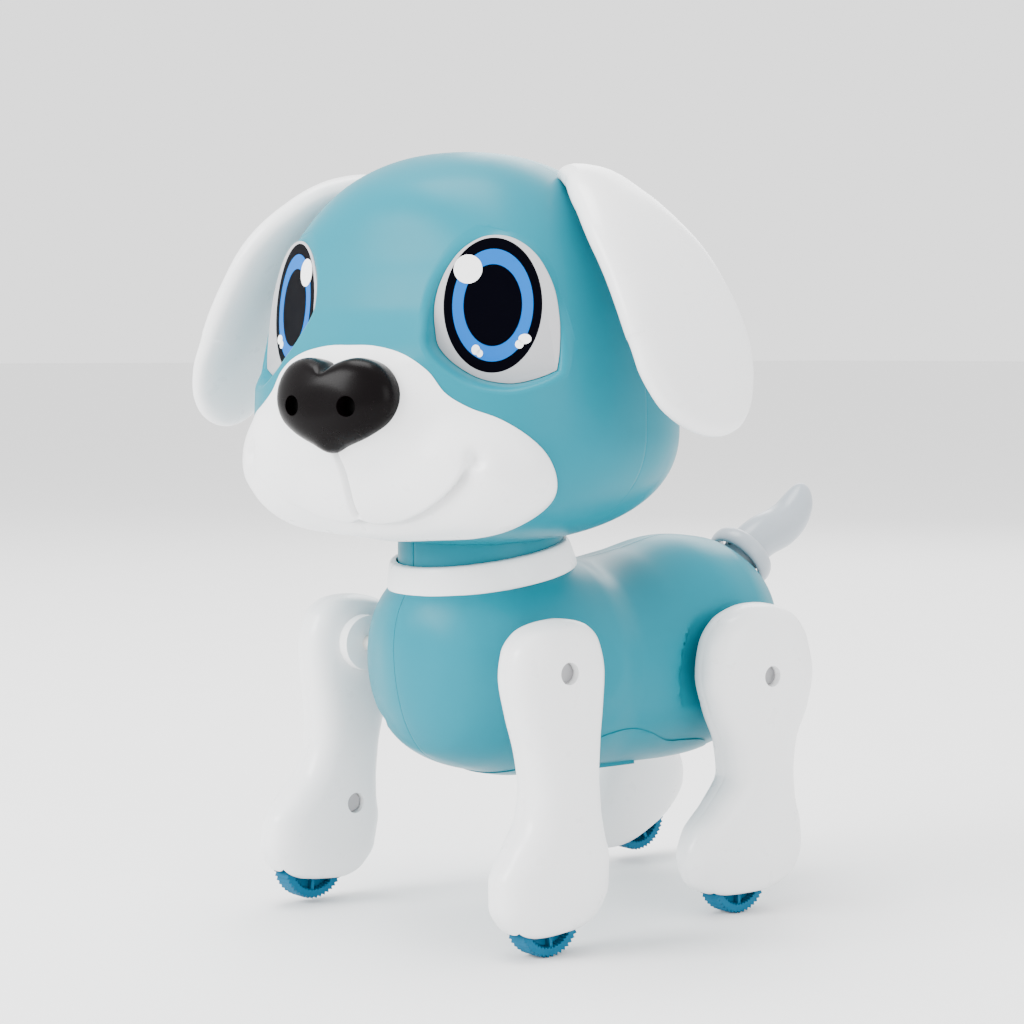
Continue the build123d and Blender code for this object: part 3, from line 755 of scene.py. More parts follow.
@dataclass
class Leg:
    """One leg: two shells with a seam along their edge, recessed screws and a wheel."""

    stance: Stance
    name: str
    side: int
    shape: LegShape
    swing: float
    teeth: int = 44

    def skin(self, points: np.ndarray) -> np.ndarray:
        """The leg's outside, about its hip."""
        rows = [
            (z, (front + back) / 2, (back - front) / 2, thick) for z, front, back, thick in self.shape.stations
        ]
        first, last = rows[0][0], rows[-1][0]
        z = first + (last - first) * (points[:, 2] + 1) / 2
        centre, half, thick = flow(rows, z, rounded=(1, 2))
        around = np.arctan2(points[:, 1], points[:, 0])
        power = 2 / self.shape.fullness
        middle = self.side * (self.shape.inner + self.shape.outer) / 2
        x = middle + thick * signed_power(np.cos(around), power)
        y = centre + half * signed_power(np.sin(around), power)
        return np.stack([x, y, z], axis=1)

    def rod(
        self, radius: float, start: float, end: float, at: tuple[float, float], sides: int
    ) -> bpy.types.Object:
        """A round bar across the leg, from start to end outwards, at a y and z."""
        near, far = Vector((self.side * start, *at)), Vector((self.side * end, *at))
        return Bench.rod(radius * MM, near * MM, far * MM, sides)

    def build(self) -> None:
        """Make the leg's shells and its wheel."""
        place = self.stance.leg(self.name, self.swing)
        middle = self.side * (self.shape.inner + self.shape.outer) / 2 * MM
        inner, outer = self.shape.inner, self.shape.outer
        well = (self.shape.inner + self.shape.outer) / 2
        leg = Bench.ball(f"{self.name}_leg_skin", 96, 140, self.skin)
        Bench.cut(leg, self.rod(8.6, inner + 3, inner - self.shape.hub, (0, 0), 64), "UNION")
        Bench.cut(leg, self.rod(3.2, outer - 4.2, outer + 3, (0, 0), 48))
        Bench.cut(leg, self.rod(3.2, inner + 4, inner - 3, self.shape.screw, 48))
        Bench.cut(leg, self.rod(12.2, well - 4.3, well + 4.3, self.shape.wheel, 64))
        leg.data.transform(place)
        split = place @ Vector((middle, 0, 0))
        for shell, way in (("outer", self.side), ("inner", -self.side)):
            half = Bench.copy(leg, f"{self.name}_leg_{shell}_skin")
            Bench.halve(half, Vector((split.x + way * 0.02 * MM, 0, 0)), Vector((way, 0, 0)))
            Bench.modify(half, "BEVEL", width=0.32 * MM, segments=2, limit_method="ANGLE",
                         angle_limit=math.radians(55))
            Bench.finish(half, Finish.WHITE, f"{self.name}_leg", f"{self.name}_leg_{shell}_shell",
                         slot="white_plastic")
        bpy.data.objects.remove(leg, do_unlink=True)
        self.wheel(place, middle)

    def wheel(self, place: Matrix, middle: float) -> None:
        """Make the saw-toothed wheel with its recessed, ribbed web.

        Args:
            place: Where the leg stands.
            middle: The wheel's middle across the toy, in metres.
        """
        Bench.clear()
        bpy.ops.mesh.primitive_cylinder_add(vertices=self.teeth * 2, radius=1.0, depth=1.0)
        rim = bpy.context.object
        rim.name = rim.data.name = f"{self.name}_wheel_skin"

        def saw(points: np.ndarray) -> np.ndarray:
            """Draw every other corner in and forward, for a saw tooth."""
            turn = np.arctan2(points[:, 1], points[:, 0])
            count = np.round(turn / (math.pi / self.teeth)).astype(int) % 2
            radius = np.where(count == 0, 11.0, 10.15)
            turn = turn + np.where(count == 0, 0.0, -0.35 * math.pi / self.teeth)
            return np.stack([radius * np.cos(turn), radius * np.sin(turn), points[:, 2] * 7.0], axis=1) * MM

        Bench.press(rim, saw)
        bpy.ops.object.mode_set(mode="EDIT")
        bpy.ops.mesh.select_mode(type="FACE")
        work = bmesh.from_edit_mesh(rim.data)
        for face in work.faces:
            face.select = abs(face.normal.z) > 0.9
        bmesh.update_edit_mesh(rim.data)
        bpy.ops.mesh.inset(thickness=1.5 * MM, depth=0.0, use_individual=True)
        bpy.ops.mesh.inset(thickness=0.25 * MM, depth=-2.3 * MM, use_individual=True)
        bpy.ops.object.mode_set(mode="OBJECT")
        Bench.cut(rim, Bench.rod(3.3 * MM, Vector((0, 0, -3.3 * MM)), Vector((0, 0, 3.3 * MM)), 40), "UNION")
        for rib in range(6):
            bar = Bench.block(Vector((5.6 * MM, 0, 0)), Vector((7.4, 1.1, 6.2)) * MM)
            bar.data.transform(Matrix.Rotation(rib * math.pi / 3, 4, "Z"))
            Bench.cut(rim, bar, "UNION")
        bore = Bench.rod(1.56 * MM, Vector((0, 0, -5 * MM)), Vector((0, 0, 5 * MM)), 32)
        Bench.cut(rim, bore)
        Bench.modify(rim, "BEVEL", width=0.12 * MM, segments=1, limit_method="ANGLE",
                     angle_limit=math.radians(50))
        y, z = self.shape.wheel
        axle = Matrix.Translation((middle, y * MM, z * MM)) @ Matrix.Rotation(math.pi / 2, 4, "Y")
        rim.data.transform(place @ axle)
        body = f"{self.name}_wheel"
        Bench.finish(rim, Finish.TEAL, body, body, slot="teal_plastic", angle=30)


# ---------------------------------------------------------------- tail
@dataclass
class Tail:
    """The tail, an S in side view, and the ring it leaves the body through."""

    stance: Stance
    line: list[tuple[float, float, float]] = field(default_factory=lambda: [
        # y, z, radius
        (73.0, 101.9, 0.0),
        (74.5, 103.0, 5.6),
        (80.0, 107.4, 6.9),
        (87.0, 111.4, 7.0),
        (93.5, 113.6, 6.9),
        (99.0, 117.0, 6.4),
        (102.6, 121.6, 5.4),
        (104.2, 125.6, 3.6),
        (104.8, 128.2, 0.0),
    ])

    def skin(self, points: np.ndarray) -> np.ndarray:
        """The tail's outside, a round section along its line."""
        rows = with_run(self.line, 2)
        end = rows[-1][0]
        s = end * (points[:, 2] + 1) / 2
        y, z, radius = flow(rows, s, rounded=(2,))
        ahead = flow(rows, np.clip(s + 0.5, 0, end), rounded=(2,))
        behind = flow(rows, np.clip(s - 0.5, 0, end), rounded=(2,))
        dy, dz = ahead[0] - behind[0], ahead[1] - behind[1]
        length = np.hypot(dy, dz)
        around = np.arctan2(points[:, 1], points[:, 0])
        lift = radius * np.sin(around)
        return np.stack([radius * np.cos(around), y - lift * dz / length, z + lift * dy / length], axis=1)

    def build(self) -> None:
        """Make the tail and its ring."""
        tail = Bench.ball("tail_skin", 64, 96, self.skin)
        tail.data.transform(self.stance.body())
        Bench.finish(tail, Finish.PALE_GREY, "tail", "tail", slot="pale_grey_plastic")
        Bench.clear()
        bpy.ops.mesh.primitive_torus_add(major_segments=96, minor_segments=24, major_radius=9.6 * MM,
                                         minor_radius=1.6 * MM)
        ring = bpy.context.object
        ring.name = ring.data.name = "tail_ring_skin"
        Bench.press(ring, lambda points: points * np.array([1.0, 1.0, 1.9]))
        pivot = self.stance.pivot("tail_wag")
        ring.data.transform(Matrix.Translation(pivot) @ Matrix.Rotation(math.radians(38 - 90), 4, "X"))
        Bench.finish(ring, Finish.PALE_GREY, "torso", "tail_ring", slot="pale_grey_plastic", angle=60)


# ---------------------------------------------------------------- head
@dataclass
class HeadForm:
    """The head's outside about the neck axis."""

    wide: float = 63.0
    deep: float = 57.0
    middle: float = -7.0
    widest: float = 149.5
    up: float = 81.5
    down: float = 35.0
    fullness: float = 2.3
    brow: float = 6.0

    def dent(self, x: np.ndarray, z: np.ndarray) -> np.ndarray:
        """How far the brow between the eyes lies back from the plain form."""
        tall = smooth_step(z, 168, 186) * (1 - smooth_step(z, 196, 222))
        return self.brow * np.exp(-((np.abs(x) / 32) ** 3.5)) * tall

    def reach(self, way: np.ndarray, start: np.ndarray) -> np.ndarray:
        """How far the surface lies from a point inside, along each way."""
        low, high = np.zeros(len(way)), np.full(len(way), 140.0)
        for _ in range(40):
            half = (low + high) / 2
            inside = self.inside(start + way * half[:, None])
            low, high = np.where(inside, half, low), np.where(inside, high, half)
        return (low + high) / 2

    def inside(self, points: np.ndarray) -> np.ndarray:
        """Which points lie inside the head."""
        z = points[:, 2] - self.widest
        tall = np.where(z > 0, self.up, self.down)
        n = self.fullness
        y = points[:, 1] - self.middle
        y = y - np.where(y < 0, self.dent(points[:, 0], points[:, 2]), 0.0)
        total = np.abs(points[:, 0] / self.wide) ** n + np.abs(y / self.deep) ** n
        return total + np.abs(z / tall) ** n < 1

    def skin(self, ball: np.ndarray) -> np.ndarray:
        """The surface from the unit ball's points, with the ball's poles to the front and back."""
        way = np.stack([ball[:, 0], -ball[:, 2], ball[:, 1]], axis=1)
        z_scale = np.where(way[:, 2] > 0, self.up, self.down)
        n = self.fullness
        total = np.abs(way[:, 0] / self.wide) ** n + np.abs(way[:, 1] / self.deep) ** n
        total += np.abs(way[:, 2] / z_scale) ** n
        points = way * (total ** (-1 / n))[:, None] + np.array([0, self.middle, self.widest])
        front = smooth_step(self.middle - points[:, 1], 10, 30)
        points[:, 1] += front * self.dent(points[:, 0], points[:, 2])
        return points

    def front_at(self, x: np.ndarray, z: np.ndarray) -> np.ndarray:
        """The y of the face at an x and z."""
        up = z - self.widest
        tall = np.where(up > 0, self.up, self.down)
        n = self.fullness
        rest = np.clip(1 - np.abs(x / self.wide) ** n - np.abs(up / tall) ** n, 0, 1)
        return self.middle - self.deep * rest ** (1 / n) + self.dent(x, z)


@dataclass
class Eye:
    """One eye: its socket, its panel and the eye printed on it."""

    form: HeadForm
    side: int
    centre: tuple[float, float, float] = (36.3, -42.9, 185.0)
    yaw: float = 26.5
    pitch: float = 5.0
    outline: list[tuple[float, float]] = field(default_factory=lambda: [
        # outwards and up, about the iris
        (-16.8, -1.0), (-16.4, -7.0), (-15.2, -11.8), (-10.6, -16.6), (-3.4, -20.6), (5.0, -22.0), (12.0, -20.8),
        (17.6, -18.6), (18.6, -17.2), (19.2, -11.0), (18.9, -3.0), (17.0, 5.8), (12.2, 14.2), (5.4, 19.0),
        (-2.0, 19.6), (-8.4, 16.4), (-12.8, 11.2), (-15.6, 5.2),
    ])

    def plane(self) -> Matrix:
        """The panel's plane: x outwards for the left eye, y up, z out of the face."""
        yaw, pitch = math.radians(self.side * self.yaw), math.radians(self.pitch)
        across = Vector((math.cos(yaw), math.sin(yaw), 0))
        out = Vector((math.sin(yaw) * math.cos(pitch), -math.cos(yaw) * math.cos(pitch), math.sin(pitch)))
        up = out.cross(across)
        matrix = Matrix((across, up, out)).transposed().to_4x4()
        matrix.translation = Vector((self.side * self.centre[0], self.centre[1], self.centre[2]))
        return matrix

    def edge(self, grow: float = 0.0) -> np.ndarray:
        """The panel's outline in its plane, grown by so much."""
        curve = closed_curve(self.outline, 10)
        curve[:, 0] *= self.side
        ahead, behind = np.roll(curve, -2, axis=0), np.roll(curve, 2, axis=0)
        along = ahead - behind
        along /= np.linalg.norm(along, axis=1)[:, None]
        away = np.stack([along[:, 1], -along[:, 0]], axis=1) * self.side
        return curve + away * grow

    def on_face(self, flat: np.ndarray, sink: float = 0.0) -> np.ndarray:
        """Carry points of the panel's plane out along its normal to the head's surface."""
        plane = self.plane()
        world = np.array([plane @ Vector((x, y, -25.0)) for x, y in flat])
        out = np.array(plane.to_3x3() @ Vector((0, 0, 1)))
        way = np.repeat(out[None, :], len(world), axis=0)
        reach = self.form.reach(way, world)
        return world + way * (reach - sink)[:, None]

    def socket(self) -> bpy.types.Object:
        """The soft-edged wall from the face down to the panel.

        Returns:
            An open band that meets the hole cut in the face.
        """
        plane = self.plane()
        brim = self.on_face(self.edge(3.6))
        shoulder = self.on_face(self.edge(1.1), sink=0.25)
        foot = np.array([plane @ Vector((x, y, -0.4)) for x, y in self.edge(0.0)])
        floor = np.array([plane @ Vector((x, y, -0.4)) for x, y in self.edge(-1.0)])
        rows, count = [], 14
        for step in range(count + 1):
            t = step / count
            rows.append((1 - t) ** 2 * brim + 2 * t * (1 - t) * shoulder + t * t * foot)
        rows.append(floor)
        Bench.clear()
        bpy.ops.mesh.primitive_grid_add(x_subdivisions=len(rows[0]), y_subdivisions=len(rows) - 1, size=1.0)
        band = bpy.context.object
        across, down = len(rows[0]), len(rows)
        table = np.array(rows)

        def lay(points: np.ndarray) -> np.ndarray:
            """Lay the grid round the socket, its two ends together."""
            i = np.round((points[:, 0] + 0.5) * across).astype(int) % across
            j = np.round((points[:, 1] + 0.5) * (down - 1)).astype(int)
            return table[j, i] * MM

        Bench.press(band, lay)
        Bench.modify(band, "WELD", merge_threshold=0.00001)
        return band

    def build(self, place: Matrix, node: str) -> None:
        """Make the panel and the printed eye.

        Args:
            place: Where the head stands.
            node: The panel's node.
        """
        here = place @ Matrix.Scale(MM, 4)
        plane = self.plane()
        back = here @ plane @ Matrix.Translation((0, 0, -2.2))
        panel = Bench.prism(f"{node}_skin", self.edge(-0.12), 2.2, back)
        Bench.modify(panel, "BEVEL", width=0.25 * MM, segments=2, limit_method="ANGLE",
                     angle_limit=math.radians(50))
        Bench.finish(panel, Finish.EYE_GREY, "head", node, slot="eye_lens")
        nose = -self.side
        wide, tall = 14.0, 18.9
        layers = [
            ("rim", Finish.EYE_NAVY, 0.0, 0.0, wide, tall, 0.10),
            ("iris", Finish.EYE_BLUE, 0.0, 0.0, wide * 0.82, tall * 0.835, 0.16),
            ("pupil", Finish.EYE_NAVY, 0.0, 0.0, wide * 0.593, tall * 0.606, 0.22),
            ("shine", Finish.EYE_WHITE, nose * 0.51 * wide, 0.535 * tall, wide * 0.29, wide * 0.29, 0.30),
            ("spark_a", Finish.EYE_WHITE, nose * 0.33 * wide, -0.66 * tall, wide * 0.085, wide * 0.1, 0.28),
            ("spark_b", Finish.EYE_WHITE, nose * 0.25 * wide, -0.715 * tall, wide * 0.065, wide * 0.075, 0.28),
            ("spark_c", Finish.EYE_WHITE, -nose * 0.66 * wide, -0.50 * tall, wide * 0.13, wide * 0.1, 0.28),
            ("spark_d", Finish.EYE_WHITE, -nose * 0.55 * wide, -0.58 * tall, wide * 0.085, wide * 0.085, 0.28),
        ]
        turn = np.linspace(0, 2 * math.pi, 96, endpoint=False)
        printed = here @ plane @ Matrix.Translation((0, 0, -0.05))
        for label, finish, x, y, half_wide, half_tall, height in layers:
            oval = np.stack([x + half_wide * np.cos(turn), y + half_tall * np.sin(turn)], axis=1)
            layer = Bench.prism(f"{node}_{label}", oval, height, printed)
            Bench.finish(layer, finish, "head", slot="eye_lens")


@dataclass
class Muzzle:
    """The white muzzle cover with its smile."""

    form: HeadForm
    heart: tuple[float, float, float] = (0.0, -7.0, 147.0)
    front_share: float = 0.84
    round_over: float = 7.5
    proud: float = 0.35
    outline: list[tuple[float, float]] = field(default_factory=lambda: [
        # x and z where the cover's edge meets the face, down one side
        (0.0, 173.8), (8.5, 173.6), (18.0, 171.6), (26.4, 166.8), (31.6, 160.6), (37.8, 156.6), (44.6, 153.6),
        (50.1, 149.1), (53.4, 143.5), (53.3, 136.4), (49.8, 130.6), (42.8, 125.8), (32.0, 121.8), (16.4, 119.0),
        (0.0, 118.2),
    ])
    lobes: list[tuple[tuple[float, ...], tuple[float, ...]]] = field(default_factory=lambda: [
        ((0, -46, 154), (29, 25.5, 21)),
        ((25, -34, 139), (31, 28.5, 21.5)),
        ((-25, -34, 139), (31, 28.5, 21.5)),
        ((0, -36, 134), (31, 26, 17.5)),
    ])
    smile: list[tuple[float, float]] = field(default_factory=lambda: [
        (0.0, 125.6), (5.0, 124.6), (12.0, 125.2), (20.0, 127.8), (27.5, 131.8), (33.5, 136.6), (37.6, 142.0),
    ])

    def ways(self, x: np.ndarray, z: np.ndarray) -> np.ndarray:
        """The ways from the heart of the head to points of the face."""
        face = np.stack([x, self.form.front_at(x, z), z], axis=1) - np.array(self.heart)
        return face / np.linalg.norm(face, axis=1)[:, None]

    @staticmethod
    def angles(way: np.ndarray) -> np.ndarray:
        """Ways as degrees round and degrees up."""
        return np.degrees(np.stack([np.arctan2(way[:, 0], -way[:, 1]), np.arcsin(way[:, 2])], axis=1))

    def bulge(self, way: np.ndarray) -> np.ndarray:
        """How far the cover's fullest surface lies along each way."""
        start = np.array(self.heart)
        reach = self.form.reach(way, start[None, :]) + 0.4
        for centre, radii in self.lobes:
            radii = np.array(radii, float)
            offset = (start - np.array(centre, float)) / radii
            d = way / radii
            a, b, c = (d * d).sum(1), (d * offset).sum(1), (offset * offset).sum() - 1
            root = b * b - a * c
            hit = np.where(root > 0, (-b + np.sqrt(np.maximum(root, 0))) / a, 0.0)
            reach = smooth_max(reach, hit, 7.0)
        return reach

    def skin(self, ball: np.ndarray) -> np.ndarray:
        """The cover's outside and its hidden back, from the unit ball's points."""
        loop = mirrored(self.outline)
        middle = np.array([0.0, 3.0])
        edge = closed_curve(self.angles(self.ways(loop[:, 0], loop[:, 1])), 16) - middle
        around = np.arctan2(ball[:, 1], ball[:, 0])
        length = length_towards(edge, around)
        down = np.arccos(np.clip(ball[:, 2], -1, 1)) / math.pi
        front = down <= self.front_share
        rim = np.where(front, down / self.front_share, (1 - down) / (1 - self.front_share))
        look = middle + (rim * length)[:, None] * np.stack([np.cos(around), np.sin(around)], axis=1)
        a, e = np.radians(look[:, 0]), np.radians(look[:, 1])
        way = np.stack([np.cos(e) * np.sin(a), -np.cos(e) * np.cos(a), np.sin(e)], axis=1)
        start = np.array(self.heart)
        face = self.form.reach(way, start[None, :])
        full = self.bulge(way)
        inward = (1 - rim) * length * 0.95
        t = np.clip(inward / self.round_over, 0, 1)
        rise = np.sqrt(np.maximum(1 - (1 - t) ** 2, 0))
        outer = face + self.proud + (full - face - self.proud) * rise
        outer -= self.creases(way, outer)
        inner = face - 4.0 * (1 - rim**6)
        reach = np.where(front, outer, inner)
        return start + way * reach[:, None]

    def creases(self, way: np.ndarray, reach: np.ndarray) -> np.ndarray:
        """How deep the smile, its dimples and the philtrum are pressed at each way."""
        point = way * reach[:, None]
        mirror = point.copy()
        mirror[:, 0] = np.abs(mirror[:, 0])
        places = np.linspace(0, len(self.smile) - 1, 120)
        dense = np.array(flow([(i, *row) for i, row in enumerate(self.smile)], places)).T
        line_way = self.ways(dense[:, 0], dense[:, 1])
        line_point = line_way * self.bulge(line_way)[:, None]
        gap, nearest = distance_to(mirror, line_point)
        below = mirror[:, 2] < line_point[nearest, 2]
        ending = smooth_step(np.linspace(1, 0, 120), 0.0, 0.12)[nearest]
        groove = 5.0 * np.exp(-((gap / 0.85) ** 2)) * ending
        lip = np.where(below, 3.2 * np.exp(-gap / 7.0) * (1 - np.exp(-((gap / 0.8) ** 2))), 0.0) * ending
        corner = line_point[-1]
        from_dimple = np.linalg.norm(mirror - corner - np.array([1.2, 0, 0.6]), axis=1)
        dimple = 3.2 * np.exp(-((from_dimple / 2.6) ** 2))
        philtrum = 2.8 * np.exp(-((point[:, 0] / 0.75) ** 2))
        top, bottom = 150 - self.heart[2], 125.6 - self.heart[2]
        philtrum *= smooth_step(point[:, 2], bottom - 1.5, bottom + 1.0)
        philtrum *= 1 - smooth_step(point[:, 2], top, top + 5)
        return groove + lip + dimple + philtrum

    def build(self, place: Matrix) -> None:
        """Make the cover."""
        cover = Bench.ball("muzzle_skin", 320, 220, self.skin)
        cover.data.transform(place)
        Bench.finish(cover, Finish.WHITE, "head", "muzzle_cover", slot="white_plastic", angle=70)


@dataclass
class Nose:
    """The glossy heart-shaped nose with its two nostrils."""

    middle: tuple[float, float] = (0.0, 157.5)
    outline: list[tuple[float, float]] = field(default_factory=lambda: [
        (0.0, 167.4), (3.6, 169.4), (9.5, 170.4), (15.5, 168.4), (19.6, 163.6), (20.6, 158.0), (18.2, 152.6),
        (12.6, 148.6), (6.0, 145.8), (0.0, 143.6),
    ])
    nostrils: tuple[float, float, float] = (9.8, 157.0, 2.9)

    def skin(self, ball: np.ndarray) -> np.ndarray:
        """The nose's outside from the unit ball's points."""
        edge = closed_curve(mirrored(self.outline), 16) - np.array(self.middle)
        around = np.arctan2(ball[:, 1], ball[:, 0])
        heart = length_towards(edge, around)
        egg = 1 / np.sqrt((np.cos(around) / 20) ** 2 + (np.sin(around) / 12.5) ** 2)
        rim = np.hypot(ball[:, 0], ball[:, 1])
        length = egg + (heart - egg) * smooth_step(rim, 0.55, 1.0)
        x, z = rim * length * np.cos(around), self.middle[1] + rim * length * np.sin(around)
        crown = np.where(ball[:, 2] >= 0, (1 - rim**3.2) ** (1 / 2.1), 0.0)
        back = np.where(ball[:, 2] < 0, (1 - rim**6) ** 0.5, 0.0)
        y = -68.8 + 0.004 * x**2 - 7.4 * crown + 10.0 * back
        return np.stack([x, y, z], axis=1)

    def build(self, place: Matrix) -> None:
        """Make the nose and drill its nostrils."""
        nose = Bench.ball("nose_skin", 160, 96, self.skin)
        x, z, radius = self.nostrils
        for side in (-1, 1):
            Bench.cut(nose, Bench.rod(radius * MM, Vector((side * x, -90, z)) * MM,
                                      Vector((side * x, -71.2, z)) * MM, 48))
        Bench.modify(nose, "BEVEL", width=0.3 * MM, segments=3, limit_method="ANGLE",
                     angle_limit=math.radians(60))
        nose.data.transform(place)
        Bench.finish(nose, Finish.NOSE, "head", "nose_cover", slot="black_plastic", angle=50)
        plugs = []
        for side in (-1, 1):
            plugs.append(Bench.rod((radius - 0.1) * MM, Vector((side * x, -71.8, z)) * MM,
                                   Vector((side * x, -66, z)) * MM, 40))
        sensors = Bench.join(plugs, "nose_sensor_skin")
        Bench.modify(sensors, "BEVEL", width=0.8 * MM, segments=3, limit_method="ANGLE")
        sensors.data.transform(place)
        Bench.finish(sensors, Finish.NOSTRIL, "head", "nose_sensors", slot="black_plastic")


@dataclass
class Ear:
    """A hanging ear, a puffed petal on its trunnions."""

    side: int
    line: list[tuple[float, float, float, float, float]] = field(default_factory=lambda: [
        # x, y, z, width fore and aft, thickness
        (32.5, -5.0, 222.6, 0.0, 0.0),
        (36.1, -5.4, 223.2, 8.4, 5.0),
        (45.2, -7.8, 221.0, 18.6, 9.0),
        (56.5, -11.4, 213.4, 31.3, 11.5),
        (67.1, -13.0, 202.2, 41.6, 13.0),
        (75.0, -12.4, 189.8, 46.3, 13.5),
        (80.9, -12.4, 177.6, 48.4, 13.0),
        (85.5, -14.7, 165.4, 44.7, 11.5),
        (88.7, -17.1, 155.5, 33.4, 9.0),
        (90.1, -18.4, 150.9, 18.3, 6.0),
        (90.5, -18.9, 149.2, 0.0, 0.0),
    ])
    fullness: float = 2.35
    twist: float = 8.5

    def skin(self, ball: np.ndarray) -> np.ndarray:
        """The ear's outside from the unit ball's points."""
        rows = with_run(self.line, 3)
        end = rows[-1][0]
        s = end * (ball[:, 2] + 1) / 2
        x, y, z, wide, thick = flow(rows, s, rounded=(3, 4))
        ahead = np.array(flow(rows, np.clip(s + 0.6, 0, end), rounded=(3, 4))[:3])
        behind = np.array(flow(rows, np.clip(s - 0.6, 0, end), rounded=(3, 4))[:3])
        along = (ahead - behind).T
        along /= np.linalg.norm(along, axis=1)[:, None]
        twist = math.radians(self.twist)
        level = np.array([math.sin(twist), math.cos(twist), 0.0])
        across = level - along * (along @ level)[:, None]
        across /= np.linalg.norm(across, axis=1)[:, None]
        out = np.cross(across, along)
        around = np.arctan2(ball[:, 1], ball[:, 0])
        power = 2 / self.fullness
        u = wide / 2 * signed_power(np.cos(around), power)
        v = thick / 2 * signed_power(np.sin(around), power)
        point = np.stack([x, y, z], axis=1) + across * u[:, None] + out * v[:, None]
        point[:, 0] *= self.side
        return point

    def build(self, place: Matrix) -> None:
        """Make the ear."""
        name = "ear_left" if self.side > 0 else "ear_right"
        ear = Bench.ball(f"{name}_skin", 96, 140, self.skin)
        ear.data.transform(place)
        Bench.finish(ear, Finish.WHITE, name, name, slot="white_plastic")


@dataclass
class Head:
    """The head's two shells and all that they carry."""

    stance: Stance
    form: HeadForm = field(default_factory=HeadForm)
    seam: float = -5.0
    screws: tuple[tuple[float, float], ...] = ((42, 139), (22, 214))

    def build(self) -> None:
        """Make every piece of the head."""
        place = self.stance.head()
        eyes = [Eye(self.form, side) for side in (1, -1)]
        whole = Bench.ball("head_skin", 256, 200, self.form.skin)
        neck = Bench.rod(25.7 * MM, Vector((0, 0, 0.10)), Vector((0, 0, 0.1182)), 96)
        Bench.cut(whole, neck)
        front = Bench.copy(whole, "head_front_skin")
        rear = Bench.copy(whole, "head_rear_skin")
        bpy.data.objects.remove(whole, do_unlink=True)
        Bench.halve(front, Vector((0, (self.seam - 0.02) * MM, 0)), Vector((0, -1, 0)))
        Bench.halve(rear, Vector((0, (self.seam + 0.02) * MM, 0)), Vector((0, 1, 0)))
        for half in (front, rear):
            Bench.modify(half, "BEVEL", width=0.3 * MM, segments=2, limit_method="ANGLE",
                         angle_limit=math.radians(50))
        bands = []
        for eye in eyes:
            socket_floor = Matrix.Scale(MM, 4) @ eye.plane() @ Matrix.Translation((0, 0, -1.5))
            Bench.cut(front, Bench.prism("socket_cutter", eye.edge(3.6), 60.0, socket_floor))
            bands.append(eye.socket())
        front = Bench.join([front, *bands], "head_front_skin")
        front.data.transform(place)
        rear.data.transform(place)
        Bench.finish(front, Finish.CYAN, "head", "head_front_shell", slot="cyan_plastic", angle=50)
        for x, z in self.screws:
            for side in (-1, 1):
                here = place @ (Vector((side * x, 4.7, z)) * MM)
                back = place @ (Vector((side * x, 60.0, z)) * MM)
                Bench.cut(rear, Bench.rod(3.0 * MM, here, back, 40))
        Bench.finish(rear, Finish.CYAN, "head", "head_rear_shell", slot="cyan_plastic", angle=50)
        for eye, node in zip(eyes, ("eye_panel_left", "eye_panel_right")):
            eye.build(place, node)
        Muzzle(self.form).build(place)
        Nose().build(place)
        Ear(1).build(place)
        Ear(-1).build(place)


# ---------------------------------------------------------------- what is carried over
def dress_carried_nodes(frame: dict) -> None:
    """Give every node of the frame the finish of its slot.

    Args:
        frame: The loaded frame.
    """
    finishes = {
        "cyan_plastic": Finish.CYAN, "white_plastic": Finish.WHITE, "pale_grey_plastic": Finish.PALE_GREY,
        "teal_plastic": Finish.TEAL, "black_plastic": Finish.NOSTRIL, "eye_lens": Finish.EYE_GREY,
        "circuit_board": Finish.BOARD, "battery_wrap": Finish.WRAP, "gear_plastic": Finish.GEAR,
        "frame_plastic": Finish.FRAME, "steel": Finish.STEEL,
    }
    slots = {part["node"]: part["material_slot"] for part in frame["record"]["subparts"]}
    for name, piece in frame["nodes"].items():
        if not isinstance(piece, bpy.types.Object):
            piece = bpy.data.objects[name]
        material = finishes[slots[name]].material()
        for slot in piece.material_slots:
            slot.material = material
        if not piece.material_slots:
            piece.data.materials.append(material)


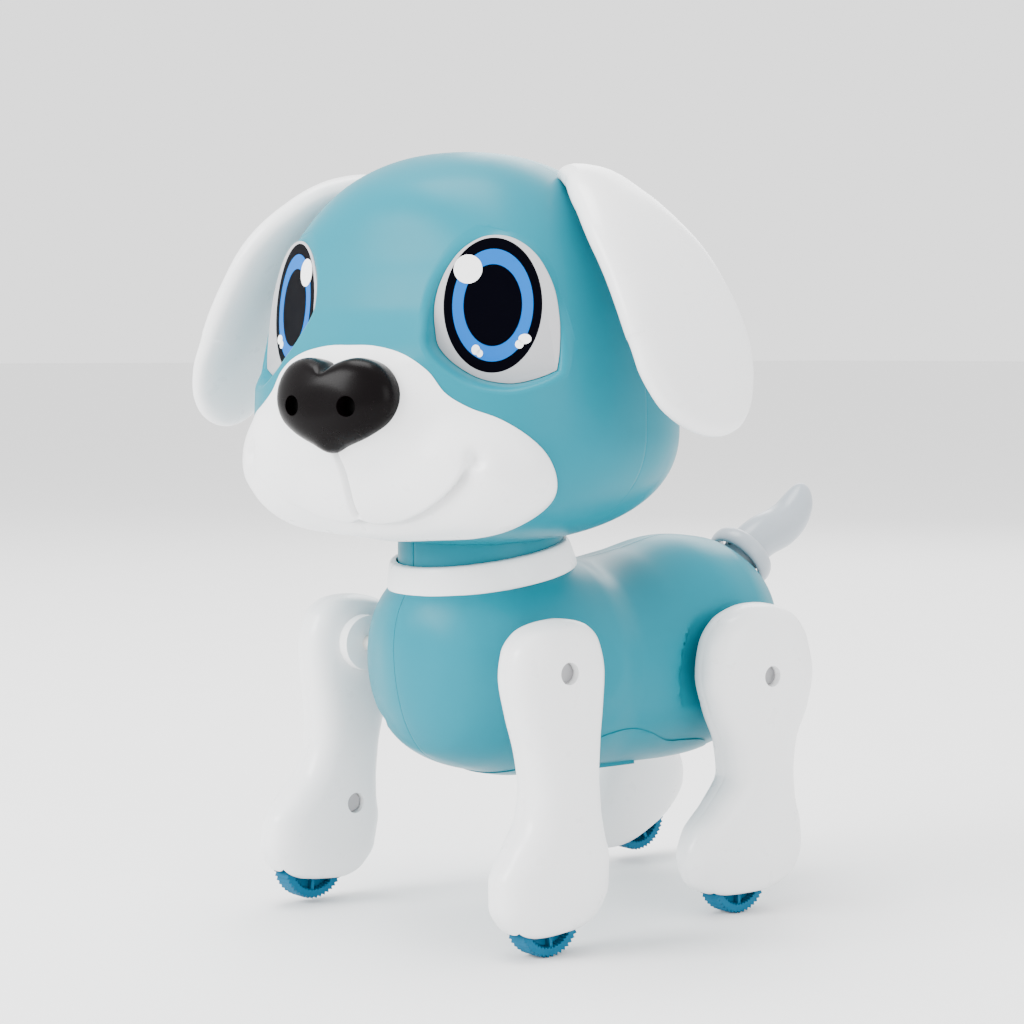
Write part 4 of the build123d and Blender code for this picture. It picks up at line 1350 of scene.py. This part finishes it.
# ---------------------------------------------------------------- studio
@dataclass
class Studio:
    """A pale floor, soft lights and the camera."""

    stance: Stance
    eye: tuple[float, float, float] = (623.3, -504.9, 172.5)
    heading: float = 52.0
    dip: float = 3.565
    lens: float = 91.4
    lamp_size: float = 0.8

    def lamp(self, name: str, place: tuple[float, float, float], power: float) -> None:
        """Hang a square soft light that faces the toy.

        Args:
            name: Its name.
            place: Where it hangs, in metres.
            power: Its power, in watts.
        """
        light = bpy.data.lights.new(name, "AREA")
        light.shape, light.size, light.energy = "SQUARE", self.lamp_size, power
        lamp = bpy.data.objects.new(name, light)
        lamp.location = place
        aim = Vector((0, 0, 0.12)) - Vector(place)
        lamp.rotation_euler = aim.to_track_quat("-Z", "Y").to_euler()
        bpy.context.collection.objects.link(lamp)

    def build(self) -> None:
        """Set up the floor, lights, world and camera."""
        Bench.clear()
        bpy.ops.mesh.primitive_plane_add(size=60.0, location=(0, 0, 0))
        floor = bpy.context.object
        floor.name = "floor"
        paper = MouldedPlastic("floor_paper", (0.86, 0.86, 0.86), 0.7, grain=0.0, shift=0.004).build()
        floor.data.materials.append(paper)

        world = bpy.data.worlds.new("studio")
        bpy.context.scene.world = world
        world.use_nodes = True
        sky = world.node_tree.nodes["Background"]
        sky.inputs["Color"].default_value = (1, 1, 1, 1)
        sky.inputs["Strength"].default_value = 1.9
        self.lamp("key_soft", (-0.35, -1.5, 0.9), 42.0)
        self.lamp("fill_soft", (1.5, 0.1, 0.5), 8.0)
        self.lamp("top_soft", (-0.2, -0.2, 1.5), 26.0)
        self.lamp("back_soft", (-0.9, 1.1, 0.9), 10.0)

        camera = bpy.data.cameras.new("camera")
        camera.lens, camera.sensor_width = self.lens, 36.0
        camera.clip_start = 0.01
        view = bpy.data.objects.new("camera", camera)
        view.location = Vector(self.eye) * MM + self.stance.middle
        view.rotation_euler = (math.radians(90 - self.dip), 0, math.radians(self.heading))
        bpy.context.collection.objects.link(view)
        bpy.context.scene.camera = view


def main() -> None:
    """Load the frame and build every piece."""
    logging.basicConfig(level=logging.INFO, format="%(message)s")
    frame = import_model()
    joints = {joint["name"]: joint for joint in frame["record"]["behaviour"]["joints"]}
    stance = Stance(joints)
    dress_carried_nodes(frame)
    Body(stance).build()
    for name, side, shape, swing in (
        ("front_left", 1, FRONT_LEG, 5.0),
        ("front_right", -1, FRONT_LEG, -5.0),
        ("rear_left", 1, REAR_LEG, 0.0),
        ("rear_right", -1, REAR_LEG, 28.0),
    ):
        Leg(stance, name, side, shape, swing).build()
    Tail(stance).build()
    Head(stance).build()
    Studio(stance).build()
    Bench.clear()
    bpy.context.view_layer.update()


if __name__ == "__main__":
    main()
